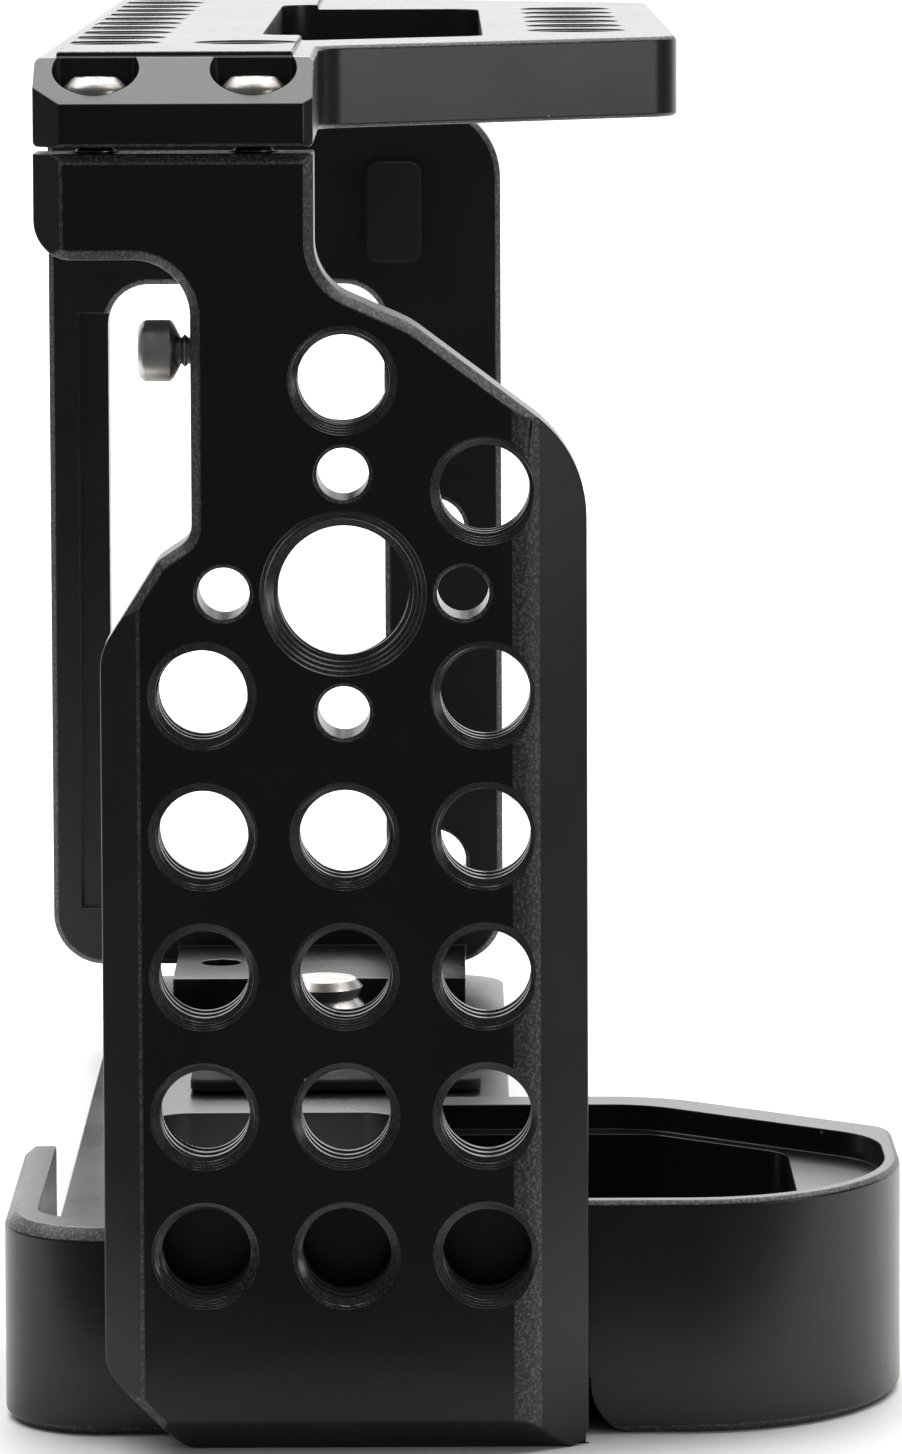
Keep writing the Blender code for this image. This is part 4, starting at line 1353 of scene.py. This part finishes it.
    def build(self) -> None:
        """Build, dress and place the tub."""
        rim = self.wall_rim
        base = prism("base_tub_dressed", Plane.PLAN, self.outline(), [
            (0.0, self.bottom_rim), (self.bottom_rim, 0.0),
            (self.wall_top - rim, 0.0), (self.wall_top, rim)], (0, 2))
        change(base, prism("collar", Plane.PLAN, self.collar(), [
            (self.floor, 0.0), (self.lip_top - self.lip_rim, 0.0), (self.lip_top, self.lip_rim)], (1,)),
            Operation.JOIN)
        change(base, prism("bay", Plane.PLAN, self.bay(), [(self.floor, 0), (self.lip_top + OVERRUN, 0)]))
        change(base, prism("ledge", Plane.PLAN, self.ledge(), [
            (self.wall_top, 0), (self.lip_top + OVERRUN, 0)]))
        flare, deep = self.notch_flare, -OVERRUN
        notch = rounded([
            (self.notch_back - flare - 2, deep, 0), (self.notch_back - flare - 2, -0.2, 0),
            (self.notch_back, -0.2, flare), (self.notch_back, self.notch_height, 0),
            (self.notch_front, self.notch_height, 0), (self.notch_front, -0.2, flare),
            (self.notch_front + flare + 2, -0.2, 0), (self.notch_front + flare + 2, deep, 0)])
        change(base, prism("notch", Plane.SIDE, notch, [(self.near - OVERRUN, 0), (self.notch_end, 0)]))
        window = oblong(self.window_low, self.window_high, self.bay_round)
        change(base, prism("window", Plane.PLAN, window, [(-OVERRUN, 0), (self.floor + OVERRUN, 0)]))
        self.drill(base)
        complete(base, self.edge, "base_tub", ALUMINIUM, EDGE_WEAR_AND_PAINTED_HIGHLIGHT)


@dataclass
class PortSideFrame:
    """The windowed frame on the port side."""

    inner: float = 65.4
    inner_rim: float = 0.4
    outer_rim: float = 0.6
    shoulder: float = 77.2
    tab_front: float = 0.5
    window_back: float = -21.0
    window_front: float = 1.4
    window_low: float = 11.6
    window_high: float = 62.6
    window_rim: float = 0.4
    window_round: float = 3.3
    corner_round: float = 4.2
    shoulder_round: float = 6.0
    foot_back: float = -15.5
    foot_front: float = 7.8
    foot_height: float = 2.5
    foot_end: float = 67.7
    rail_bore: float = 2.6
    rail_rim: float = 2.9
    rebate_reach: float = 2.4
    rebate_depth: float = 0.8
    rebate_top: float = 60.3
    rail_middle: float = 5.3
    rail_holes: tuple[float, ...] = (15.3, 42.5)
    edge: float = 0.12

    def build(self) -> None:
        """Build, dress and place the frame."""
        low, high = extent("port_side_frame")
        bottom, top, back, front = low.z + 1.0, high.z, low.y, high.y
        outline = rounded([
            (back, top, self.corner_round), (back, bottom, self.corner_round),
            (front, bottom, self.corner_round), (front, self.shoulder, self.shoulder_round),
            (self.tab_front, self.shoulder, 0.0), (self.tab_front, top, 0.0)])
        piece = prism("port_side_frame_dressed", Plane.SIDE, outline, [
            (self.inner, self.inner_rim), (self.inner + self.inner_rim, 0.0),
            (FAR_FACE - self.outer_rim, 0.0), (FAR_FACE, self.outer_rim)], (0, 2))
        foot = oblong((self.foot_back, low.z), (self.foot_front, low.z + self.foot_height))
        change(piece, prism("foot", Plane.SIDE, foot, [(low.x, 0), (self.foot_end, 0)]), Operation.JOIN)
        window = oblong(
            (self.window_back, self.window_low), (self.window_front, self.window_high), self.window_round)
        rim, past = self.window_rim, self.window_rim + 1.0
        change(piece, prism("window", Plane.SIDE, window, [
            (self.inner - 1.0, -past), (self.inner + rim, 0.0),
            (FAR_FACE - rim, 0.0), (FAR_FACE + 1.0, -past)], (0, 2)))
        rebate = oblong(
            (self.window_back - self.rebate_reach, self.window_low),
            (self.window_back + self.rebate_reach, self.rebate_top))
        change(piece, prism("rebate", Plane.SIDE, rebate, [
            (self.inner - OVERRUN, 0), (self.inner + self.rebate_depth, 0)]))
        middle, half = (self.inner + FAR_FACE) / 2, (FAR_FACE - self.inner) / 2
        rail = [(self.rail_middle, height, middle) for height in self.rail_holes]
        change(piece, spun("rail_holes", Plane.SIDE, rail, bore_profile(
            self.rail_bore, self.rail_rim, -half, half), 48))
        tap_clamps(piece, CLAMP_XS[1], top)
        feet = [(PORT_FOOT_X, reach, low.z) for reach in PORT_FOOT_REACHES]
        change(piece, spun("foot_taps", Plane.PLAN, feet, shaft(SMALL_BORE / 2, -OVERRUN, 4.0), 24))
        complete(piece, self.edge, "port_side_frame", ALUMINIUM, EDGE_WEAR_AND_PAINTED_HIGHLIGHT)


@dataclass
class TopPlate:
    """The top plate: back strip, slanted bar, front bar, hole rows and cut-out."""

    plateau: float = 0.35
    plateau_gap: float = 0.45
    plateau_back: float = -17.6
    plateau_front: float = -3.0
    cutout_round: float = 2.5
    port_bar_front_end: float = 34.0
    port_bar_root_end: float = 48.0
    strip_holes: int = 12
    strip_start: Point = (-51.0, -15.0)
    outer_reach: float = -6.3
    bar_holes: int = 6
    bar_hole_start: Point = (-23.0, 15.3)
    cutout_back: float = -5.6
    cutout_front: float = 8.9
    cutout_end: float = 22.0
    back: float = -18.9
    front: float = -1.7
    bar_front: float = 21.8
    bar_start: float = -48.0
    bar_end: float = -34.0
    bar_width: float = 8.0
    bar_round: float = 3.2
    end_fall: float = 2.7
    end_run: float = 4.7
    back_bevel: float = 1.7
    front_bevel: float = 0.6
    hole_pitch: float = 8.7
    rim: float = 6.72
    seat: float = 2.4
    pocket_centre: float = 3.6
    pocket_flat: float = 4.95
    pocket_radius: float = 2.65
    edge: float = 0.10

    def slant_near(self, forward: float) -> float:
        """X of the slanted bar's near face at a forward place."""
        share = (forward - self.front) / (self.bar_front - self.front)
        return self.bar_start + (self.bar_end - self.bar_start) * share

    def slant_far(self, forward: float) -> float:
        """X of the slanted bar's far face at a forward place."""
        run, rise = self.bar_end - self.bar_start, self.bar_front - self.front
        return self.slant_near(forward) + self.bar_width * hypot(run, rise) / rise

    def holes(self) -> list[Point]:
        """Centres of the threaded holes, as x and forward.

        Returns:
            The centres.
        """
        start, reach = self.strip_start
        strip = [(start + index * self.hole_pitch, reach) for index in range(self.strip_holes)]
        pair = [(start, self.outer_reach), (-start, self.outer_reach)]
        bar_start, bar_reach = self.bar_hole_start
        bar = [(bar_start + index * self.hole_pitch, bar_reach) for index in range(self.bar_holes)]
        return strip + pair + bar

    def pocket(self, face: float, side: int, reach: float) -> list[Point]:
        """Outline of a clamp screw's pocket: round, with a flat under the chamfer's top edge.

        Args:
            face: X of the end face.
            side: 1 where the plate lies towards larger X.
            reach: the screw's forward place.

        Returns:
            The outline.
        """
        centre, flat = self.pocket_centre, self.pocket_flat
        turn = acos((flat - centre) / self.pocket_radius)
        points = []
        for number in range(POCKET_STEPS + 1):
            angle = turn + (2 * pi - 2 * turn) * number / POCKET_STEPS
            inward = centre + self.pocket_radius * cos(angle)
            points.append((face + side * inward, reach + self.pocket_radius * sin(angle)))
        return points

    def body(self, low: float, high: float) -> bpy.types.Object:
        """The plate's solid before its holes.

        Args:
            low: height of its underside.
            high: height of its top face beside the plateau.

        Returns:
            The solid.
        """
        strip = oblong((NEAR_FACE, self.back), (FAR_FACE, self.front))
        levels = [(low, 0.2), (low + 0.2, 0.0), (high - 0.25, 0.0), (high, 0.25)]
        top = prism("top_plate_dressed", Plane.PLAN, strip, levels, (0, 2))
        root = self.front - OVERRUN
        bars = rounded([
            (self.slant_near(root), root, 0),
            (self.slant_near(self.bar_front), self.bar_front, self.bar_round),
            (self.port_bar_front_end, self.bar_front, 1.5),
            (self.port_bar_root_end, self.front, 0),
            (self.port_bar_root_end, root, 0),
        ])
        change(top, prism("bars", Plane.PLAN, bars, levels, (0, 2)), Operation.JOIN)
        corner, reach = self.slant_near(self.front), self.front + self.bar_round
        fillet = rounded([
            (corner - self.bar_round, self.front - 1.0, 0), (corner - self.bar_round, self.front, 0),
            (corner, self.front, self.bar_round), (self.slant_near(reach), reach, 0),
            (self.slant_near(reach) + 1.0, reach, 0), (corner + 1.0, self.front - 1.0, 0)])
        change(top, prism("root_fillet", Plane.PLAN, fillet, levels, (0, 2)), Operation.JOIN)
        behind, ahead = self.cutout_back, self.cutout_front
        cutout = rounded([
            (self.slant_far(behind), behind, self.cutout_round),
            (self.slant_far(ahead), ahead, self.cutout_round),
            (self.cutout_end, ahead, self.cutout_round), (self.cutout_end, behind, self.cutout_round)])
        for name, face, side in (("near_chamfer", NEAR_FACE, 1), ("far_chamfer", FAR_FACE, -1)):
            rise_to = high + self.plateau + OVERRUN
            run_to = face + side * self.end_run * (rise_to - high + self.end_fall) / self.end_fall
            wedge = [
                (face - side, high - self.end_fall - self.end_fall / self.end_run), (face - side, rise_to),
                (run_to, rise_to)]
            change(top, prism(name, Plane.END, wedge, [(self.back - 1, 0), (self.front + 1, 0)]))
        for name, edge, depth, way in (
            ("back_bevel", self.back, self.back_bevel, -1.0),
            ("front_bevel", self.front, self.front_bevel, 1.0),
        ):
            corner = [
                (NEAR_FACE - 1.0, edge - way * (depth + 1.0)), (NEAR_FACE + depth + 1.0, edge + way),
                (NEAR_FACE - 1.0, edge + way)]
            change(top, prism(name, Plane.PLAN, corner, [(low - 1.0, 0), (high + 1.0, 0)]))
        end = FAR_FACE - self.end_run - self.plateau_gap
        rise = oblong((-end, self.plateau_back), (end, self.plateau_front))
        change(top, prism("plateau", Plane.PLAN, rise, [
            (high - self.plateau, 0), (high + self.plateau - 0.12, 0), (high + self.plateau, 0.12)], (1,)),
            Operation.JOIN)
        change(top, prism("cutout", Plane.PLAN, cutout, [(low - OVERRUN, 0), (high + OVERRUN, 0)]))
        return top

    def build(self) -> None:
        """Build, dress and place the top plate."""
        low_corner, high_corner = extent("top_plate")
        low, high = low_corner.z, high_corner.z - self.plateau
        top = self.body(low, high)
        screws = [(x, reach, low) for x in CLAMP_XS for reach in CLAMP_REACHES]
        change(top, spun(
            "screw_bores", Plane.PLAN, screws, shaft(SMALL_BORE / 2, -1.0, self.seat + 1.0), 32))
        for face, side in ((NEAR_FACE, 1), (FAR_FACE, -1)):
            for reach in CLAMP_REACHES:
                change(top, prism("pocket", Plane.PLAN, self.pocket(face, side, reach), [
                    (low + self.seat, 0), (high + OVERRUN, 0)]))
        middle, half = (low + high) / 2, (high - low) / 2
        raised = half + self.plateau
        pads = [(x, reach, middle) for x, reach in self.holes() if reach < self.front]
        bars = [(x, reach, middle) for x, reach in self.holes() if reach > self.front]
        for name, places, upper in (("strip_holes", pads, raised), ("bar_holes", bars, half)):
            QUARTER_INCH.cut(top, name, Plane.PLAN, places, self.rim / 2, -half, upper)
        complete(top, self.edge, "top_plate", ALUMINIUM, EDGE_WEAR_AND_PAINTED_HIGHLIGHT, THREAD)


@dataclass
class Screws:
    """All the steel: clamp screws, flat-headed screws, camera screw, clip and lug screw."""

    clamp_head: float = 4.3
    clamp_rise: float = 1.5
    clamp_thread: float = 2.5
    clamp_length: float = 8.5
    seat_level: float = 0.2
    grips: int = 36
    flat_head: tuple[Point, ...] = ((1.0, 0.0), (2.0, 0.0), (2.2, 0.08), (1.25, 1.2))
    camera_head: tuple[Point, ...] = (
        (5.7, 0.0), (6.0, 0.3), (6.0, 1.5), (5.7, 1.8), (3.1, 1.8), (3.1, 2.9), (2.6, 3.05), (2.6, 4.3))
    camera_tip: tuple[Point, ...] = ((3.0, 9.1), (2.5, 9.7))
    lug_tip: tuple[Point, ...] = ((0.7, -5.25), (0.95, -5.0))
    lug_head: tuple[Point, ...] = (
        (1.7, 0.0), (1.9, 0.2), (1.9, 1.7), (1.84, 1.88), (1.72, 2.02), (1.5, 2.15),
        (1.3, 2.2), (0.8, 2.2))
    lug_seat: float = -10.35

    def turned(self, name: str, profile: list[Point], segments: int = 48) -> bpy.types.Object:
        """A turned solid about its own Z axis at the origin.

        Args:
            name: the object's name.
            profile: (radius, height) from bottom to top; the ends close on the axis.
            segments: sides round the axis.

        Returns:
            The solid.
        """
        shape = bmesh.new()
        rings = [
            [
                shape.verts.new((
                    radius * cos(2 * pi * side / segments) * MM, radius * sin(2 * pi * side / segments) * MM,
                    height * MM))
                for side in range(segments)
            ]
            for radius, height in profile
        ]
        skin(shape, rings, lambda band, side: False)
        return finish_shape(shape, name)

    def socket(
        self, screw: bpy.types.Object, across: float, top: float, depth: float, upward: bool = True
    ) -> None:
        """Cut a hexagonal socket with a chamfered mouth into a screw at the origin.

        Args:
            screw: the screw.
            across: size across the flats.
            top: height of the face that it is cut in.
            depth: how deep it goes.
            upward: whether the socket opens upwards.
        """
        side = 1 if upward else -1
        corner = across / 2 / cos(pi / 6)
        cutter = self.turned("socket", [(corner, -depth), (corner, 1.0)], 6)
        mouth = self.turned("mouth", [(corner - 0.05, -0.12), (corner + 1.1, 1.0)], 24)
        floor = self.turned("floor", [(0.02, -depth - 0.25), (across / 2 - 0.05, -depth + 0.02)], 24)
        for tool in (cutter, mouth, floor):
            tool.data.transform(Matrix.Translation((0, 0, top * MM)) @ Matrix.Diagonal((1, 1, side, 1)))
            if not upward:
                tool.data.flip_normals()
            change(screw, tool)

    def ridges(self, radius: float, root: float, low: float, high: float, pitch: float) -> list[Point]:
        """Profile points of a threaded shank, as rings of crests and roots.

        Args:
            radius: crest radius.
            root: root radius.
            low: where the thread begins.
            high: where it ends.
            pitch: distance between crests.

        Returns:
            Points (radius, height) from low to high.
        """
        points: list[Point] = []
        count = int((high - low) / pitch)
        for number in range(count):
            base = low + number * pitch
            points += [(root, base), (radius, base + pitch * 0.42), (radius, base + pitch * 0.58)]
        points.append((root, low + count * pitch))
        return points

    def clamp_screws(self) -> None:
        """Four socket screws through the top plate."""
        head, thread = self.clamp_head / 2 - 0.15, self.clamp_thread / 2
        seat = extent("top_screw_grip_back")[1].z - self.clamp_rise
        profile = [(0.8, -self.clamp_length)]
        profile += self.ridges(thread, thread - 0.2, -self.clamp_length + 0.3, -2.4, SCREW_PITCH)
        profile += [
            (thread - 0.1, 0.0), (head - 0.1, 0.0), (head, 0.1), (head, self.clamp_rise - 0.75),
            (head - 0.12, self.clamp_rise - 0.55), (head - 0.55, self.clamp_rise - 0.12),
            (head - 0.75, self.clamp_rise), (0.9, self.clamp_rise)]
        screw = self.turned("clamp_screw_pattern", profile)
        self.socket(screw, 1.5, self.clamp_rise, 0.9)
        break_edges(screw, 0.05, 28.0, 1)
        places = [row(x, reach, seat) for x in CLAMP_XS for reach in CLAMP_REACHES]
        self.fastener_row(
            "top_clamp_screws", screw, places,
            ("top_screw_grip_back", "top_screw_grip_front", "top_screw_port_back", "top_screw_port_front"))

    def fastener_row(
        self, name: str, pattern: bpy.types.Object, places: list[Vector], nodes: tuple[str, ...]
    ) -> None:
        """Copy a fastener to its places and let the copies stand for their nodes.

        Args:
            name: the new object's name.
            pattern: the fastener at the origin, dropped afterwards.
            places: world positions.
            nodes: the CAD nodes that the copies replace.
        """
        copies = Repeats.run(name, Repeats.copies_tree(), places, {
            "Pattern": pattern, "Axis Turn": (0.0, 0.0, 0.0), "Turn Step": 0.45,
            "Material": STEEL.material()})
        bpy.data.objects.remove(pattern, do_unlink=True)
        copies.data.set_sharp_from_angle(angle=radians(COPIES_SHARP_ANGLE))
        dress(copies, STEEL)
        show(copies, "cage", "screw_steel", *nodes)

    def flat_screws(self) -> None:
        """Flat-headed screws through both feet, seen from below."""
        for name, length, x, reaches, nodes in (
            ("grip_foot_screws", 4.5, GRIP_FOOT_X, GRIP_FOOT_REACHES,
             ("grip_foot_screw_1", "grip_foot_screw_2", "grip_foot_screw_3")),
            ("port_foot_screws", 6.8, PORT_FOOT_X, PORT_FOOT_REACHES,
             ("port_foot_screw_1", "port_foot_screw_2")),
        ):
            thread = self.ridges(1.25, 1.05, 1.3, length - 0.2, SCREW_PITCH)
            screw = self.turned(name + "_pattern", [*self.flat_head, *thread, (0.9, length)])
            self.socket(screw, 1.3, 0.0, 0.7, upward=False)
            places = [row(x, reach, self.seat_level) for reach in reaches]
            self.fastener_row(name, screw, places, nodes)

    def camera_screw(self) -> None:
        """The captive camera screw with its slot, thread and clip."""
        thread = self.ridges(3.125, 2.6, 4.4, 8.9, QUARTER_INCH.pitch)
        screw = self.turned("camera_screw_dressed", [*self.camera_head, *thread, *self.camera_tip])
        slot = prism("slot", Plane.SIDE, oblong((-0.7, -1.0), (0.7, 0.9)), [(-7, 0), (7, 0)])
        slot.data.transform(Matrix.Translation((0, -COLUMN_BACK * MM, 0)))
        change(screw, slot)
        grips = bmesh.new()
        for number in range(self.grips):
            angle = 2 * pi * number / self.grips
            bmesh.ops.create_cone(
                grips, cap_ends=True, segments=6, radius1=0.22 * MM, radius2=0.22 * MM, depth=4 * MM,
                matrix=Matrix.Translation((6.05 * cos(angle) * MM, 6.05 * sin(angle) * MM, 0.9 * MM)))
        change(screw, finish_shape(grips, "grips", placed=True))
        screw.data.transform(Matrix.Translation(row(CAMERA_SCREW_X, CAMERA_SCREW_REACH, self.seat_level)))
        shade(screw)
        dress(screw, STEEL)
        show(screw, "camera_screw_body", "screw_steel", "camera_screw")
        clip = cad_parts["camera_screw_clip"]
        dress(clip, CLIP_STEEL)

    def lug_screw(self) -> None:
        """The small cap screw in the neck's back edge, its axis front to back."""
        thread = self.ridges(1.0, 0.8, -4.95, -0.05, SCREW_PITCH)
        screw = self.turned("lug_screw_dressed", [*self.lug_tip, *thread, *self.lug_head])
        self.socket(screw, 1.5, self.lug_head[-1][1], 1.2)
        screw.data.transform(
            Matrix.Translation(row(LUG_X, self.lug_seat, LUG_HEIGHT)) @ Matrix.Rotation(-pi / 2, 4, "X"))
        shade(screw)
        dress(screw, LUG_STEEL)
        show(screw, "lug_screw_body", "screw_steel", "lug_screw")

    def build(self) -> None:
        """Build every screw."""
        self.clamp_screws()
        self.flat_screws()
        self.camera_screw()
        self.lug_screw()


@dataclass
class Pads:
    """Rubber pads on the floor and on the port frame."""

    corner: float = 1.0
    sharp_angle: float = 50.0
    floor_pads: tuple[str, ...] = (
        "floor_pad_centre", "floor_pad_grip", "floor_pad_cup", "floor_pad_port")

    def pillow(
        self, name: str, plane: Plane, outline: list[Point], low: float, high: float
    ) -> bpy.types.Object:
        """A thin pad with softly rounded rims.

        Args:
            name: the object's name.
            plane: the plane of its outline.
            outline: its outline.
            low: its glued face.
            high: its free face.

        Returns:
            The pad.
        """
        side = 1 if high > low else -1
        piece = prism(name, plane, outline, [
            (low, 0), (high - 0.25 * side, 0), (high - 0.07 * side, 0.07), (high, 0.25)])
        shade(piece, self.sharp_angle)
        dress(piece, RUBBER)
        return piece

    def build(self) -> None:
        """Build and place the pads."""
        for name in self.floor_pads:
            low, high = extent(name)
            outline = oblong((low.x, low.y), (high.x, high.y), self.corner)
            pad = self.pillow(name + "_dressed", Plane.PLAN, outline, low.z, high.z)
            show(pad, "cage", "pad_rubber", name)
        low, high = extent("frame_pad")
        outline = oblong((low.y, low.z), (high.y, high.z), self.corner)
        pad = self.pillow("frame_pad_dressed", Plane.SIDE, outline, high.x, low.x)
        show(pad, "cage", "pad_rubber", "frame_pad")


# Studio

STRIP_BEARING = radians(55.0)
STRIP_AWAY = 0.65


@dataclass(frozen=True)
class Softbox:
    """A rectangular soft light, in metres and watts."""

    name: str
    place: Place
    target: Place
    size: Point
    power: float

    def hang(self) -> None:
        """Put the light into the scene, out of the camera's sight."""
        lamp = bpy.data.lights.new(self.name, "AREA")
        lamp.shape = "RECTANGLE"
        lamp.size, lamp.size_y = self.size
        lamp.energy = self.power
        light = stand(self.name, lamp)
        light.location = self.place
        way = Vector(self.target) - Vector(self.place)
        light.rotation_euler = way.to_track_quat("-Z", "Y").to_euler()
        light.visible_camera = False


@dataclass
class Studio:
    """Camera, soft lights, pale floor and surroundings."""

    lens: float = 167.56
    eye: Place = (-482.0, 6.138, 103.106)
    tilt: float = 0.07505
    yaw: float = 0.00132
    roll: float = -0.00401
    picture: tuple[int, int] = (902, 1454)
    centre_line: float = 291.8
    table_front: float = -90.0
    table_back: float = 3000.0
    table_half_width: float = 260.0
    overhead: Softbox = Softbox("overhead", (0.34, 0.0, 1.1), (0.34, 0.0, 0.0), (1.04, 2.0), 26.0)
    background: Softbox = Softbox("background", (1.9, 0.0, 1.2), (1.9, 0.0, 0.0), (2.0, 1.0), 30.0)
    strip: Softbox = Softbox(
        "strip", (-cos(STRIP_BEARING) * STRIP_AWAY, -sin(STRIP_BEARING) * STRIP_AWAY, 0.12),
        (-0.05, 0.0, 0.08), (0.26, 0.18), 0.5)
    room: tuple[Point, ...] = (
        (0.0, 0.14), (0.10, 0.17), (0.25, 0.22), (0.475, 0.24), (0.585, 0.22),
        (0.695, 0.26), (0.785, 0.55), (0.845, 1.2), (0.92, 1.6), (1.0, 1.5))

    def camera(self) -> None:
        """Place the camera where the photograph was taken from."""
        lens = bpy.data.cameras.new("camera")
        lens.sensor_fit = "VERTICAL"
        lens.sensor_height = 36.0
        lens.sensor_width = 36.0
        lens.lens = self.lens
        lens.shift_y = -(self.picture[1] / 2 - self.centre_line) / self.picture[1]
        lens.clip_start = 0.01
        lens.clip_end = 50.0
        eye = stand("camera", lens)
        along, drop = cos(self.tilt), sin(self.tilt)
        straight, aside = cos(self.yaw), sin(self.yaw)
        ahead = Vector((along * straight, -along * aside, -drop))
        right = Vector((-aside, -straight, 0.0))
        up = Vector((drop * straight, -drop * aside, along))
        across = right * cos(self.roll) + up * sin(self.roll)
        above = up * cos(self.roll) - right * sin(self.roll)
        turn = Matrix((across, above, -ahead)).transposed().to_4x4()
        eye.matrix_world = Matrix.Translation(row(*self.eye)) @ turn
        bpy.context.scene.camera = eye

    def surroundings(self) -> None:
        """A room that is pale behind the cage and dim in front of it; the camera sees plain white."""
        world = bpy.data.worlds.new("studio")
        bpy.context.scene.world = world
        world.use_nodes = True
        sheet = NodeSheet(world.node_tree)
        backdrop = world.node_tree.nodes["Background"]
        place = sheet.add("ShaderNodeTexCoord").outputs["Generated"]
        apart = sheet.add("ShaderNodeSeparateXYZ")
        sheet.wire(place, apart.inputs["Vector"])
        ramp = sheet.add("ShaderNodeValToRGB")
        stops = ramp.color_ramp.elements
        for stop, (position, level) in zip((stops[0], stops[1]), (self.room[0], self.room[-1])):
            stop.position = position
            stop.color = (level, level, level, 1.0)
        for position, level in self.room[1:-1]:
            stops.new(position).color = (level, level, level, 1.0)
        sheet.wire(value_range(sheet, apart.outputs["X"], (-1.0, 1.0), (0.0, 1.0)), ramp.inputs["Fac"])
        seen = sheet.add("ShaderNodeLightPath").outputs["Is Camera Ray"]
        mixed = sheet.add("ShaderNodeMix", data_type="RGBA")
        mixed.inputs["B"].default_value = (1.0, 1.0, 1.0, 1.0)
        sheet.wire(seen, mixed.inputs["Factor"])
        sheet.wire(ramp.outputs["Color"], mixed.inputs["A"])
        sheet.wire(mixed.outputs["Result"], backdrop.inputs["Color"])

    def floor(self) -> None:
        """A plain pale table: it starts a little in front of the cage and runs far behind it."""
        shape = bmesh.new()
        front, far, side = self.table_front * MM, self.table_back * MM, self.table_half_width * MM
        places = ((front, -side), (far, -side), (far, side), (front, side))
        corners = [shape.verts.new((x, y, 0.0)) for x, y in places]
        shape.faces.new(corners)
        table = finish_shape(shape, "floor", placed=True)
        material = bpy.data.materials.new("pale_table")
        material.use_nodes = True
        shader = material.node_tree.nodes["Principled BSDF"]
        shader.inputs["Base Color"].default_value = (0.9, 0.9, 0.9, 1.0)
        shader.inputs["Roughness"].default_value = 0.9
        table.data.materials.append(material)

    def build(self) -> None:
        """Set up the whole studio."""
        self.camera()
        for softbox in (self.overhead, self.background, self.strip):
            softbox.hang()
        self.surroundings()
        self.floor()
        view = bpy.context.scene.view_settings
        view.view_transform = "Standard"
        view.look = "None"


def main() -> None:
    """Dress the cage and set up its studio."""
    logging.basicConfig(level=logging.INFO, format="%(name)s %(message)s")
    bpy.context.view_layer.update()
    Studio().build()
    for part in (TubBase(), GripSidePlate(), PortSideFrame(), TopPlate(), Screws(), Pads()):
        part.build()
        log.info("%s built", type(part).__name__)


if __name__ == "__main__":
    main()
